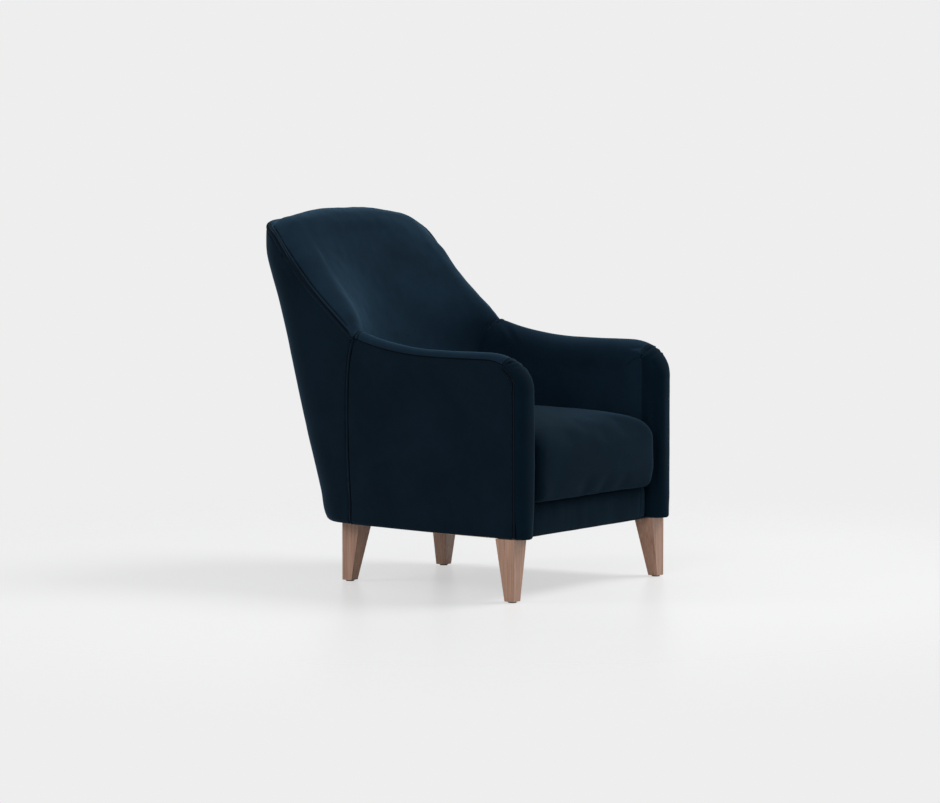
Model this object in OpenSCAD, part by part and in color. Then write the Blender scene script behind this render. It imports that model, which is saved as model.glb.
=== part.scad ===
// Upholstered armchair: round-fronted arms that sweep up into a hollowed back,
// a loose seat cushion and four tapered wooden legs.
// Millimetres, +Z up, the front faces -Y, the origin lies on the floor under
// the middle of the chair. Left is -X and right is +X, as seen from the front.

/* [Overall] */
// Clear width between the arm fronts
inner_w = 532; // [500:1:580]
// Width of an arm at its front roll
arm_w = 68; // [62:1:76]
// Height of the arm crest above the floor
arm_h = 588; // [570:1:610]
// Height of the back crest above the floor
back_h = 911; // [880:1:950]
// Height of the seat cushion's crown above the floor
seat_h = 428; // [410:1:445]
// Height of the body's underside above the floor
leg_h = 150; // [130:1:165]

/* [Arms] */
// From where the arm's top seam meets the back to the foot of the inside back
arm_end_set = 40; // [30:1:50]
// Length of the rounded front corner, seen from the side
bend_len = 110; // [95:1:125]
// Height of the rounded front corner, seen from the side
bend_drop = 80; // [70:1:90]
// How far the crest has climbed where it meets the back
arm_rise = 39; // [25:1:45]
// From the arm's front to where the crest starts to climb
rise_start = 209; // [180:1:240]
// From the arm's front back to the double seam of the outside panel
front_seam_set = 23; // [20:1:26]
// From the crest down to the seam of the outside panel
top_seam_set = 15; // [13:1:18]
// Thickness of the padding on the arm
arm_pad_t = 14; // [12:1:15]

/* [Shell] */
// From the foot of the inside back to the rear of the body at its underside
base_run = 133; // [128:1:138]
// Lean of the outside back from upright
back_lean = 11.25; // [9:0.25:13]
// Plan radius of the rear corners
corner_r = 105; // [95:1:115]
// How far the sides draw in towards the rear at the base
low_taper = 70; // [60:1:76]
// How far the sides draw in towards the rear at the top
top_taper = 5; // [2:1:10]
// Radius of the turned-under bottom edge at the rear
hem_r = 16; // [12:1:18]
// Thickness of an outside cover with its backing board
panel_t = 4; // [3:0.5:4.5]
// From the back crest down to its rear seam
rear_seam_set = 22; // [18:1:26]
// How far the outside cover turns in at the top of the back
rim_tuck = 9; // [6:1:11]

/* [Back and seat] */
// From the arm's front to the foot of the inside back
seat_depth = 541; // [530:1:550]
// Depth of the back's crest, from its front to the middle of its round
crest_front = 60.5; // [57:0.5:64]
// Thickness of the inside back's padding at its middle
back_pad_t = 45; // [40:1:48]
// Height of the front border's face
border_h = 79; // [74:1:84]
// From the arm's front back to the border's face
border_set = 31; // [28:1:34]
// How far the cushion's front stands ahead of the arm fronts
cushion_proud = 3; // [1:1:6]
// Gap at each side of the seat cushion
cushion_gap = 4; // [3:1:6]
// Thickness of the cushion's cover with its wadding
cover_t = 12; // [8:1:16]

/* [Frame] */
// Height of the seat rails
rail_h = 62; // [56:1:64]
// Thickness of the seat rails
rail_t = 25; // [22:1:28]
// Width of the arm posts and arm rails
post_w = 32; // [28:1:32]
// Depth of the arm's front post
post_d = 50; // [46:1:54]
// Thickness of the wing boards
wing_t = 12; // [10:1:12]
// Width of the back posts
back_post_w = 30; // [26:1:34]
// Depth of the back posts
back_post_d = 38; // [34:1:40]
// Thickness of the tacking rails and battens
batten_t = 16; // [14:1:16]

/* [Legs] */
// Side of a leg at its top
leg_top = 53; // [48:1:53]
// Side of a leg at its foot
leg_foot = 27; // [24:1:32]
// From the arm's front to the front legs
front_leg_set = 29; // [27:1:31]
// From the arm's outer side to the front legs
front_leg_in = 6; // [5:1:7]
// From the middle of the chair to the outer side of a rear leg
rear_leg_x = 212; // [204:1:216]
// From the back's lowest edge to the rear of a rear leg
rear_leg_set = 37; // [34:1:42]
// Thread diameter of the hanger bolts
bolt_d = 8; // [6:1:10]
// Length of the hanger bolts
bolt_len = 76; // [70:1:84]
// Diameter of the glides
glide_d = 20; // [16:1:22]
// Thickness of the glides
glide_t = 3; // [2:0.5:5]

/* [Springs] */
// Number of sinuous seat springs
spring_count = 5; // [4:1:6]
// Thickness of the spring wire
wire_d = 3.8; // [3.2:0.2:4.2]
// Width of a sinuous spring over its loops
spring_w = 50; // [44:1:56]
// Distance from one loop of a spring to the next
spring_pitch = 26; // [22:1:32]
// Number of straps on the back
strap_count = 6; // [5:1:8]
// Width of a strap
strap_w = 50; // [40:1:55]

/* [Hidden] */

// Clearances
fit = 0.4;       // between pieces that lie against each other
deck_t = 10;     // felt and cover of the seat deck

// Places along Y, all from the front of the arms
rear_seam_z = back_h - rear_seam_set;
top_run = tan(back_lean)*(rear_seam_z - leg_h);      // how far the rear face leans out
body_d = cushion_proud + seat_depth + base_run + top_run - rim_tuck;
arm_front = -body_d/2 + cushion_proud;
arm_len = seat_depth - arm_end_set;
seam_y = arm_front + front_seam_set;
junction_y = arm_front + arm_len;
bend_y = arm_front + bend_len;
bend_z = arm_h - bend_drop;
border_y = arm_front + border_set;
split_y = arm_front + 57;         // where the roll's inner side ends
rear_base_y = arm_front + seat_depth + base_run;
rear_top_y = rear_base_y + top_run;

// Places along X
roll_x = inner_w/2 + arm_w/2;
crest_x = roll_x + 9;             // the crest lies outboard of the roll's middle
seam_x = inner_w/2 + arm_w - 2;
inside_x = inner_w/2 + 2;         // inside face of the arm behind its roll
post_x0 = roll_x - post_w/2;
post_x1 = roll_x + post_w/2;

// Heights
deck_z = leg_h + border_h;
rail_z = leg_h + rail_h;
wing_z0 = arm_h + arm_rise - top_seam_set - 4;   // the wing's seam starts here
wing_z1 = back_h - 66;                           // and turns across the back here
wing_run = rear_top_y - junction_y - 92;         // forward slope of the wing's seam
pad_clear = arm_pad_t + 19;       // depth of the frame below the arm's crest
crest_mid = [rear_top_y - 40, back_h - 43];      // centre of the crest's round, in Y and Z
inner_run = crest_mid.x - crest_front - arm_front - seat_depth;   // how far the inside back leans

function clamp(v, lo, hi) = min(max(v, lo), hi);
function lerp(a, b, t) = a + (b - a)*t;
function ease(t) = let (u = clamp(t, 0, 1)) u*u*(3 - 2*u);
function bezier(a, b, c, d, t) =
    pow(1 - t, 3)*a + 3*t*pow(1 - t, 2)*b + 3*t*t*(1 - t)*c + pow(t, 3)*d;
function smooth_min(a, b, k) = let (h = max(k - abs(a - b), 0)/k) min(a, b) - h*h*k/4;

// Outline of the outside shell in plan, for the right half.
// Rear face at height z, leaning back
function rear_y(z) = rear_base_y + tan(back_lean)*(z - leg_h);
// Draw-in of the side at height z
function taper(z) =
    let (t = clamp((z - leg_h - 50)/(back_h - leg_h - 50), 0, 1))
    lerp(low_taper, top_taper, 1 - pow(1 - t, 2));
function along(y, z) = (y - seam_y)/(rear_y(z) - seam_y);
// Turned-under bottom edge
function hem(z) = let (h = clamp(hem_r - (z - leg_h), 0, hem_r)) hem_r - sqrt(hem_r*hem_r - h*h);
function side_x(y, z, inset = 0) =
    let (u = along(y, z)) seam_x - taper(z)*u*u - hem(z)*(0.2 + 0.8*u) - inset;
// The upright seam between the arm's panel and the back's cover
function back_seam_y(z) =
    let (t = clamp((z - leg_h)/(wing_z0 - leg_h), 0, 1)) junction_y + 36 - 16*t - 20*pow(t, 6);

// Outline of the back's cover from that seam (q = 0) to the middle (q = 1)
side_share = 0.38;
corner_share = 0.74;
rear_crown = 6;
function back_outline(q, z, inset = 0) =
    let (y0 = back_seam_y(z),
         ry = rear_y(z) - hem(z) - inset,
         y1 = ry - corner_r,
         x1 = side_x(y1, z, inset),
         lean = -2*taper(z)*along(y1, z)/(rear_y(z) - seam_y),
         x3 = x1 - corner_r*0.98,
         k = 0.56*corner_r,
         fall = 2*rear_crown/x3)
    q <= side_share
        ? let (y = lerp(y0, y1, q/side_share)) [side_x(y, z, inset), y]
        : q <= corner_share
            ? bezier([x1, y1], [x1 + k*lean, y1 + k], [x3 + k, ry - rear_crown - k*fall],
                     [x3, ry - rear_crown], (q - side_share)/(corner_share - side_share))
            : let (x = x3*(1 - (q - corner_share)/(1 - corner_share)))
              [x, ry - rear_crown*pow(x/x3, 2)];

// Crest and seams of the arm
function crest_z(y) =
    y < bend_y
        ? bend_z + bend_drop*sqrt(max(1 - pow((y - bend_y)/bend_len, 2), 0))
        : arm_h + arm_rise*pow(max((y - arm_front - rise_start)/(arm_len - rise_start), 0), 2.6);
function arm_seam_z(y) =
    y < bend_y
        ? bend_z + (bend_drop - top_seam_set)
            *sqrt(max(1 - pow((y - bend_y)/(bend_len - front_seam_set), 2), 0))
        : crest_z(y) - top_seam_set - 4*(crest_z(y) - arm_h)/arm_rise;

// Seam along the wing, then across the back
function wing_seam_z(y) =
    let (t = (y - junction_y)/wing_run) wing_z0 + (wing_z1 - wing_z0)*(0.8*t + 0.2*pow(max(t, 0), 5));
function rear_rim_z(x) = rear_seam_z - 56*pow(abs(x)/(seam_x - 2), 8);
function rim_inset(q) = lerp(3, rim_tuck, ease(q/side_share));
function rim_z(q, z = wing_z1, n = 12) =
    n == 0 ? z
    : let (p = back_outline(q, z, rim_inset(q)))
      rim_z(q, smooth_min(wing_seam_z(p.y), rear_rim_z(p.x), 30), n - 1);
function rim_point(q) = let (z = rim_z(q), p = back_outline(q, z, rim_inset(q))) [p.x, p.y, z];

// Grids of points: g[row][column]
function grid_normal(g, i, j) =
    let (m = len(g) - 1, n = len(g[0]) - 1,
         a = g[min(i + 1, m)][j] - g[max(i - 1, 0)][j],
         b = g[i][min(j + 1, n)] - g[i][max(j - 1, 0)],
         c = cross(a, b))
    c/norm(c);
// The same grid moved level towards the inside
function offset_grid(g, t) =
    [for (i = [0:len(g) - 1]) [for (j = [0:len(g[0]) - 1])
        let (n = grid_normal(g, i, j)) g[i][j] - t*[n.x, n.y, 0]/norm([n.x, n.y])]];

// Closed solid between an outer and an inner grid of the same size
module sheet(outer, inner) {
    m = len(outer);
    n = len(outer[0]);
    function at(i, j, s = 0) = (s*m + i)*n + j;
    quads = concat(
        [for (i = [0:m - 2]) for (j = [0:n - 2])
            [at(i, j), at(i, j + 1), at(i + 1, j + 1), at(i + 1, j)]],
        [for (i = [0:m - 2]) for (j = [0:n - 2])
            [at(i, j, 1), at(i + 1, j, 1), at(i + 1, j + 1, 1), at(i, j + 1, 1)]],
        [for (j = [0:n - 2]) [at(0, j, 1), at(0, j + 1, 1), at(0, j + 1), at(0, j)]],
        [for (j = [0:n - 2]) [at(m - 1, j), at(m - 1, j + 1), at(m - 1, j + 1, 1), at(m - 1, j, 1)]],
        [for (i = [0:m - 2]) [at(i, 0), at(i + 1, 0), at(i + 1, 0, 1), at(i, 0, 1)]],
        [for (i = [0:m - 2]) [at(i, n - 1, 1), at(i + 1, n - 1, 1), at(i + 1, n - 1), at(i, n - 1)]]);
    p = concat([for (r = outer) each r], [for (r = inner) each r]);
    polyhedron(points = p, faces = [for (f = quads) each
        norm(p[f[0]] - p[f[2]]) <= norm(p[f[1]] - p[f[3]]) ? [[f[0], f[1], f[2]], [f[0], f[2], f[3]]]
                                                           : [[f[0], f[1], f[3]], [f[1], f[2], f[3]]]]);
}

// Closed solid through rings of points, each ring convex and the ends flat or crowned
module rings(r) {
    m = len(r);
    n = len(r[0]);
    function centre(ring) = [for (k = [0:2]) [for (p = ring) p[k]]*[for (p = ring) 1]/n];
    faces = concat(
        [for (i = [0:m - 2]) for (j = [0:n - 1]) each
            [[i*n + j, (i + 1)*n + j, (i + 1)*n + (j + 1)%n],
             [i*n + j, (i + 1)*n + (j + 1)%n, i*n + (j + 1)%n]]],
        [for (j = [0:n - 1]) [m*n, j, (j + 1)%n]],
        [for (j = [0:n - 1]) [m*n + 1, (m - 1)*n + (j + 1)%n, (m - 1)*n + j]]);
    polyhedron(points = concat([for (ring = r) each ring], [centre(r[0]), centre(r[m - 1])]),
               faces = faces);
}

module both_sides() {
    children();
    mirror([1, 0, 0]) children();
}

// Extrudes a profile given in Y and Z along X, from x0 to x1
module side_profile(x0, x1, points) {
    translate([x0, 0, 0])
        rotate([90, 0, 90])
            linear_extrude(height = x1 - x0)
                polygon(points);
}

// Colours
velvet = [0.09, 0.15, 0.21];
timber = [0.80, 0.66, 0.46];
walnut = [0.50, 0.36, 0.28];
steel = [0.62, 0.63, 0.65];
felt = [0.30, 0.30, 0.31];
elastic = [0.16, 0.16, 0.17];
foam = [0.85, 0.80, 0.62];

// Seat frame

base_gap = panel_t + 1;           // between the rails and the cover's outer face
side_rail_y1 = rear_y(leg_h) - hem_r - corner_r;
function rail_x(y) = side_x(y, leg_h, base_gap);
rear_rail_y = rear_y(leg_h) - hem_r - rear_crown - base_gap;
rear_rail_x = rail_x(side_rail_y1) - corner_r*0.98;
post_y0 = arm_front + 35;         // front face of the arm's front post
post_y1 = post_y0 + post_d;

module seat_front_rail() {
    color(timber)
        translate([-post_x0 + fit, split_y + fit, leg_h])
            cube([2*(post_x0 - fit), rail_t, rail_h]);
}

module seat_rear_rail() {
    color(timber)
        translate([-rear_rail_x, rear_rail_y - rail_t, leg_h])
            cube([2*rear_rail_x, rail_t, rail_h]);
}

module seat_side_rail() {
    y0 = post_y1;
    steps = 10;
    outer = [for (i = [0:steps]) let (y = lerp(y0, side_rail_y1, i/steps)) [rail_x(y), y]];
    inner = [for (i = [steps:-1:0]) let (y = lerp(y0, side_rail_y1, i/steps)) [rail_x(y) - rail_t, y]];
    color(timber)
        translate([0, 0, leg_h])
            linear_extrude(height = rail_h)
                polygon(concat(outer, inner));
}

// Sawn block in the rear corner, over the rear leg
module rear_corner_block() {
    steps = 8;
    outer = [for (i = [0:steps])
        back_outline(lerp(side_share, corner_share, i/steps), leg_h, base_gap)];
    x0 = rear_rail_x;
    inner = [[x0, rear_rail_y - rail_t - 0.01], [rear_leg_x - leg_top - 6, rear_leg_y - leg_top - 4],
             [rail_x(side_rail_y1) - rail_t, side_rail_y1]];
    linear_extrude(height = rail_h)
        polygon(concat([[rail_x(side_rail_y1), side_rail_y1 + 0.01]], [for (i = [1:steps - 1]) outer[i]],
                       [[x0 + 0.01, rear_rail_y], inner[0] + [0.01, 0.01], inner[1], inner[2] + [0, 0.01]]));
}

module rear_corner_blocks() {
    color(timber)
        difference() {
            translate([0, 0, leg_h]) both_sides() rear_corner_block();
            both_sides() translate([rear_bolt.x, rear_bolt.y, 0]) tee_nut_hole();
        }
}

// Glue blocks between the front rail and the side rails
module front_glue_blocks() {
    leg_in = 44;
    y0 = split_y + fit + rail_t;
    x1 = rail_x(y0 + leg_in) - rail_t;
    x1b = post_x0 - fit;
    color(timber)
        translate([0, 0, leg_h])
            both_sides()
                linear_extrude(height = rail_h - 8)
                    polygon([[x1b - leg_in, y0], [x1b, y0], [x1b, post_y1],
                             [rail_x(post_y1) - rail_t - fit, post_y1], [x1 - fit, y0 + leg_in]]);
}

// Legs and their fastenings

front_leg_x = inner_w/2 + arm_w - front_leg_in;      // outer face
front_leg_y = arm_front + front_leg_set;             // front face
rear_leg_y = rear_y(leg_h) - hem_r - rear_leg_set;   // rear face
front_bolt = [roll_x, front_leg_y + leg_top/2];
rear_bolt = [rear_leg_x - leg_top/2, rear_leg_y - leg_top/2];
nut_d = bolt_d + 2.4;
nut_h = 9;
flange_d = 2.4*bolt_d;
flange_t = 1.5;

module tee_nut_hole() {
    translate([0, 0, leg_h - 1]) cylinder(d = nut_d, h = nut_h + 1 + flange_t, $fn = 32);
    translate([0, 0, leg_h - 1]) cylinder(d = flange_d, h = 1 + flange_t + fit, $fn = 32);
    translate([0, 0, leg_h]) cylinder(d = bolt_d + 1, h = bolt_len/2 + 2, $fn = 32);
}

// A leg with two upright outer faces; the two inner faces taper.
// Its outer corner lies at the origin and the leg stands towards +X and +Y.
module leg_form() {
    h = leg_h - glide_t;
    slope = atan((leg_top - leg_foot)/h);
    difference() {
        cube([leg_top, leg_top, h]);
        translate([leg_foot, -1, 0])
            rotate([0, slope, 0])
                translate([0, 0, -h]) cube([leg_top, leg_top + 2, 3*h]);
        translate([-1, leg_foot, 0])
            rotate([-slope, 0, 0])
                translate([0, 0, -h]) cube([leg_top + 2, leg_top, 3*h]);
    }
}

// sx and sy point from the leg's outer corner towards its inner sides
module leg(corner, bolt, sx, sy) {
    color(walnut)
        difference() {
            translate([corner.x, corner.y, glide_t]) scale_xy(sx, sy) leg_form();
            translate([bolt.x, bolt.y, leg_h - bolt_len/2 - 1])
                cylinder(d = bolt_d + fit, h = bolt_len, $fn = 32);
        }
}

module scale_xy(sx, sy) {
    mirror([sx < 0 ? 1 : 0, 0, 0]) mirror([0, sy < 0 ? 1 : 0, 0]) children();
}

module leg_front_right() { leg([front_leg_x, front_leg_y], front_bolt, -1, 1); }
module leg_front_left() { mirror([1, 0, 0]) leg_front_right(); }
module leg_rear_right() { leg([rear_leg_x, rear_leg_y], rear_bolt, -1, -1); }
module leg_rear_left() { mirror([1, 0, 0]) leg_rear_right(); }

module at_bolts() {
    both_sides() {
        translate([front_bolt.x, front_bolt.y, 0]) children();
        translate([rear_bolt.x, rear_bolt.y, 0]) children();
    }
}

module leg_glides() {
    color(felt)
        both_sides() {
            translate([front_leg_x - leg_foot/2, front_leg_y + leg_foot/2, 0])
                cylinder(d = glide_d, h = glide_t, $fn = 48);
            translate([rear_leg_x - leg_foot/2, rear_leg_y - leg_foot/2, 0])
                cylinder(d = glide_d, h = glide_t, $fn = 48);
        }
}

module leg_bolts() {
    color(steel)
        at_bolts()
            translate([0, 0, leg_h - bolt_len/2])
                cylinder(d = bolt_d, h = bolt_len, $fn = 32);
}

module leg_tee_nuts() {
    color(steel)
        at_bolts()
            difference() {
                union() {
                    translate([0, 0, leg_h + fit/4]) cylinder(d = flange_d - fit, h = flange_t, $fn = 32);
                    translate([0, 0, leg_h + fit/4]) cylinder(d = nut_d - fit, h = nut_h, $fn = 32);
                }
                translate([0, 0, leg_h - 1]) cylinder(d = bolt_d + 0.1, h = nut_h + 4, $fn = 32);
            }
}

// Arm frame

// The frame's outline in side view keeps pad_clear below the arm's crest
function frame_z(y) =
    y < bend_y
        ? bend_z + (bend_drop - pad_clear)
            *sqrt(max(1 - pow((y - bend_y)/(bend_len - pad_clear), 2), 0))
        : crest_z(y) - pad_clear*norm([1, (crest_z(y + 1) - crest_z(y - 1))/2]);

arm_rail_h = 32;
arm_rail_z = arm_h - pad_clear - arm_rail_h;
rear_post_y0 = junction_y - 32;
rear_post_y1 = rear_post_y0 + 30;
tack_h = 30;

module arm_front_post() {
    steps = 5;
    top = [for (i = [0:steps]) let (y = lerp(post_y1, post_y0, i/steps)) [y, frame_z(y)]];
    color(timber)
        difference() {
            side_profile(post_x0, post_x1, concat([[post_y0, leg_h], [post_y1, leg_h]], top));
            translate([front_bolt.x, front_bolt.y, 0]) tee_nut_hole();
        }
}

module arm_rail() {
    steps = 8;
    top = [for (i = [0:steps]) let (y = lerp(rear_post_y1, post_y1, i/steps)) [y, frame_z(y)]];
    color(timber)
        side_profile(post_x0, post_x1,
            concat([[post_y1, arm_rail_z], [rear_post_y1, arm_rail_z]], top));
}

// Leaning post that carries the rear end of the arm rail
module arm_rear_post() {
    foot_x0 = rail_x(rear_post_y1) - rail_t + 2;
    foot_x1 = side_x(rear_post_y1, rail_z, base_gap);
    step_z = deck_z - deck_t - 0.6;
    x0 = max(inside_x + arm_pad_t + fit, foot_x0);
    color(timber)
        translate([0, rear_post_y1, 0])
            rotate([90, 0, 0])
                linear_extrude(height = rear_post_y1 - rear_post_y0)
                    polygon([[deck_x + fit, rail_z], [foot_x1, rail_z], [post_x1 - 6, arm_rail_z],
                             [post_x0, arm_rail_z], [x0, deck_z - 1], [deck_x + fit, step_z]]);
}

module arm_tack_rail() {
    color(timber)
        translate([post_x0, post_y1, deck_z + 4])
            cube([batten_t - 4, rear_post_y0 - post_y1, tack_h]);
}

// Back frame

spring_step = (inner_w - 60)/spring_count;
back_foot_y = rear_rail_y - 2;                      // rear face of a back post at its foot
back_top_z = back_h - 43;
back_lean_run = rear_y(back_top_z) - rear_crown - rim_tuck - panel_t - 3 - back_foot_y;
back_slope = back_lean_run/(back_top_z - rail_z);
function post_face_y(z) = back_foot_y - back_post_d + back_slope*(z - rail_z);
post_taper = 4;                                     // the posts thin this much towards the top rail
function post_front_y(z) = post_face_y(z) + post_taper*(z - rail_z)/(top_rail_z0 - rail_z);
back_post_x = 1.5*spring_step + back_post_w/2;      // outer side, midway between two springs

module back_post() {
    color(timber)
        side_profile(back_post_x - back_post_w, back_post_x, [
            [post_face_y(rail_z), rail_z], [post_face_y(rail_z) + back_post_d, rail_z],
            [post_face_y(top_rail_z0) + back_post_d, top_rail_z0],
            [post_front_y(top_rail_z0), top_rail_z0]]);
}

// A board on the front faces of both back posts
module cross_board(z0, z1, t, half_w) {
    side_profile(-half_w, half_w, [
        [post_front_y(z0) - t, z0], [post_front_y(z0), z0],
        [post_front_y(z1), z1], [post_front_y(z1) - t, z1]]);
}

top_rail_h = 48;
top_rail_z1 = back_top_z - 30;
top_rail_z0 = top_rail_z1 - top_rail_h;
top_rail_t = 14;
rail_board_t = 20;
wing_x0 = post_x0;
wing_x1 = wing_x0 + wing_t;

module back_top_rail() {
    y0 = web_y(top_rail_z0) + 2;
    y1 = web_y(top_rail_z1) + 2;
    color(timber)
        side_profile(-wing_x0, wing_x0,
            [[y0, top_rail_z0], [y0 + top_rail_t, top_rail_z0],
             [y1 + top_rail_t, top_rail_z1], [y1, top_rail_z1]]);
}

middle_rail_h = 60;
middle_rail_z = arm_h - 43;
module back_middle_rail() {
    color(timber) cross_board(middle_rail_z, middle_rail_z + middle_rail_h, rail_board_t, back_post_x);
}

// Ply board that shapes the wing between the arm and the top of the back
module wing_board() {
    y0 = rear_post_y1 + fit;
    y1 = junction_y + wing_run - 30;
    z0 = arm_rail_z - 40;
    top = top_rail_z1;
    turn_z = top - 150;
    front = [for (t = [0:0.125:1]) let (y = lerp(y0 + 6, y1, t)) [y + 20, wing_seam_z(y) - 28]];
    color(timber)
        side_profile(wing_x0, wing_x1, concat(
            [[y0 + 52, z0], [y0, z0], [y0, frame_z(y0) - 2]], front,
            [[rear_y(top) - 74, top], [rear_y(top) - 58, top], [rear_y(turn_z) - 62, turn_z]]));
}

// Inside back surface: middle profile and the line where it meets the arms

corner_x = inside_x - fit;        // half width of the inside back between the arms
function soft_step(d, w) = (d + sqrt(d*d + w*w))/2;
function lean_share(z) = soft_step(z - leg_h - 250, 90)/soft_step(crest_mid.y - leg_h - 250, 90);
function middle_y(z) = arm_front + seat_depth + inner_run*lean_share(z);
function hollow(z) = 13 + 77*pow(clamp((z - deck_z)/(arm_h - deck_z), 0, 1.05), 2.9);
function arm_corner_y(z) = middle_y(z) - hollow(z);

web_gap = 1;
function web_y(z) = middle_y(z) + back_pad_t + web_gap;

batten_x1 = corner_x - 4;
batten_w = 26;
batten_z0 = rail_z;
batten_z1 = top_rail_z0;

module webbing_batten() {
    steps = 10;
    zs = [for (i = [0:steps]) lerp(batten_z0, batten_z1, i/steps)];
    color(timber)
        side_profile(batten_x1 - batten_w, batten_x1, concat(
            [for (z = zs) [web_y(z) + 1.6, z]],
            [for (i = [steps:-1:0]) [web_y(zs[i]) + 1.6 + batten_t, zs[i]]]));
}

module back_tack_rail() {
    z0 = deck_z + 1;
    color(timber)
        side_profile(-batten_x1 + batten_w, batten_x1 - batten_w, [
            [web_y(z0) + 1.6, z0], [web_y(z0) + 1.6 + batten_t, z0],
            [web_y(z0 + tack_h) + 1.6 + batten_t, z0 + tack_h], [web_y(z0 + tack_h) + 1.6, z0 + tack_h]]);
}

module back_webbing() {
    z0 = deck_z + strap_w;
    pitch = (batten_z1 - strap_w - z0)/(strap_count - 1);
    color(elastic)
        for (i = [0:strap_count - 1]) {
            a = z0 + i*pitch;
            steps = 4;
            zs = [for (k = [0:steps]) a + strap_w*k/steps];
            side_profile(-batten_x1, batten_x1, concat(
                [for (z = zs) [web_y(z) + 0.2, z]], [for (k = [steps:-1:0]) [web_y(zs[k]) + 1.5, zs[k]]]));
        }
}

// Seat suspension

spring_y0 = split_y + fit + 6;
spring_y1 = rear_rail_y - 8;
spring_z = rail_z + 2;
deck_x = inside_x - fit;

// Zigzag band of one sinuous spring, in plan
module spring_band() {
    loops = floor((spring_y1 - spring_y0 - 30)/spring_pitch);
    lead = (spring_y1 - spring_y0 - loops*spring_pitch)/2;
    steps = 4;
    function wave(t) = spring_w/2*sin(360*t)*(1 - 0.18*pow(cos(360*t), 2));
    mid = concat([[0, spring_y0]],
        [for (i = [0:loops*steps/2*2]) let (t = i/steps/2) [wave(t), spring_y0 + lead + t*2*spring_pitch]],
        [[0, spring_y1]]);
    n = len(mid);
    function side(i) = let (d = mid[min(i + 1, n - 1)] - mid[max(i - 1, 0)]) [-d.y, d.x]/norm(d);
    linear_extrude(height = wire_d)
        polygon(concat([for (i = [0:n - 1]) mid[i] + side(i)*wire_d/2],
                       [for (i = [n - 1:-1:0]) mid[i] - side(i)*wire_d/2]));
}

module at_springs() {
    for (i = [0:spring_count - 1])
        translate([(i - (spring_count - 1)/2)*spring_step, 0, 0]) children();
}

module seat_springs() {
    color(steel) translate([0, 0, spring_z]) at_springs() spring_band();
}

// A folded clip that holds the end of a spring on its rail
module spring_clip() {
    w = 14;
    d = 16;
    h = spring_z - rail_z + wire_d + fit + 0.8;
    difference() {
        translate([-w/2, -d/2, 0]) cube([w, d, h]);
        translate([-wire_d/2 - fit, -d, spring_z - rail_z - fit/2])
            cube([wire_d + 2*fit, 2*d, wire_d + fit]);
    }
}

module spring_clips() {
    color(steel)
        translate([0, 0, rail_z])
            at_springs() {
                translate([0, spring_y0 + 9, 0]) spring_clip();
                translate([0, spring_y1 - 9, 0]) spring_clip();
            }
}

module deck_pad() {
    y0 = split_y + fit;
    color(felt)
        translate([-deck_x, y0, deck_z - deck_t])
            cube([2*deck_x, web_y(deck_z) - 2 - y0, deck_t]);
}

module dust_cover() {
    inset = 14;
    steps = 8;
    ys = [for (i = [0:steps]) lerp(border_y + 8, side_rail_y1, i/steps)];
    side = [for (y = ys) [rail_x(y) - inset, y]];
    corner = [for (i = [1:steps])
        back_outline(lerp(side_share, corner_share, i/steps), leg_h, base_gap + inset)];
    half = concat(side, corner);
    color(elastic)
        difference() {
            translate([0, 0, leg_h - 1])
                linear_extrude(height = 1)
                    polygon(concat(half, [for (i = [len(half) - 1:-1:0]) [-half[i].x, half[i].y]]));
            both_sides() {
                translate([front_leg_x - leg_top - 2, front_leg_y - leg_top, leg_h - 2])
                    cube([2*leg_top, 2*leg_top + 2, 4]);
                translate([rear_leg_x - leg_top - 2, rear_leg_y - leg_top - 2, leg_h - 2])
                    cube([leg_top + 4, leg_top + 4, 4]);
            }
        }
}

// Upholstery

// Profile of the arm's front, bend and top in side view. s runs 0 to 1 up the
// front, 1 to 2 round the bend and 2 to 3 along the top.
function profile_point(s) =
    s <= 1 ? [arm_front, lerp(leg_h, bend_z, s)]
    : s <= 2 ? [bend_y - bend_len*cos(90*(s - 1)), bend_z + bend_drop*sin(90*(s - 1))]
    : let (y = lerp(bend_y, junction_y, s - 2)) [y, crest_z(y)];
function profile_normal(s) =
    let (e = 0.002, d = profile_point(s + e) - profile_point(s - e)) [-d.y, d.x]/norm(d);

// Cross-section of the arm at s: x against depth below the profile
function bend_share(s) = ease(s - 1);
function section(s) =
    let (b = bend_share(s), low = 1 - 0.06*ease(1 - 4*s),
         cx = lerp(roll_x, crest_x, b) - 9*ease((s - 2.4)/0.6),
         out_x = min(seam_x + 2, side_x(profile_point(s).x, profile_point(s).y - 20) + 2),
         ao = (out_x - cx)*low, ho = lerp(arm_w/2, 37, b),
         ai = (cx - inner_w/2)*low, hi = lerp(arm_w/2, 46, b),
         ds = lerp(front_seam_set, top_seam_set + 4*max(profile_point(s).y - arm_h, 0)/arm_rise, b),
         a0 = asin(1 - ds/ho))
    concat([for (k = [0:4]) let (a = lerp(a0, 90, k/4)) [cx + ao*cos(a), ho*(1 - sin(a))]],
           [for (k = [1:6]) let (a = lerp(90, 0, k/6)) [cx - ai*cos(a), hi*(1 - sin(a))]]);
function on_profile(s, p) =
    let (c = profile_point(s), n = profile_normal(s)) [p.x, c.x - n.x*p.y, c.y - n.y*p.y];

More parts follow.
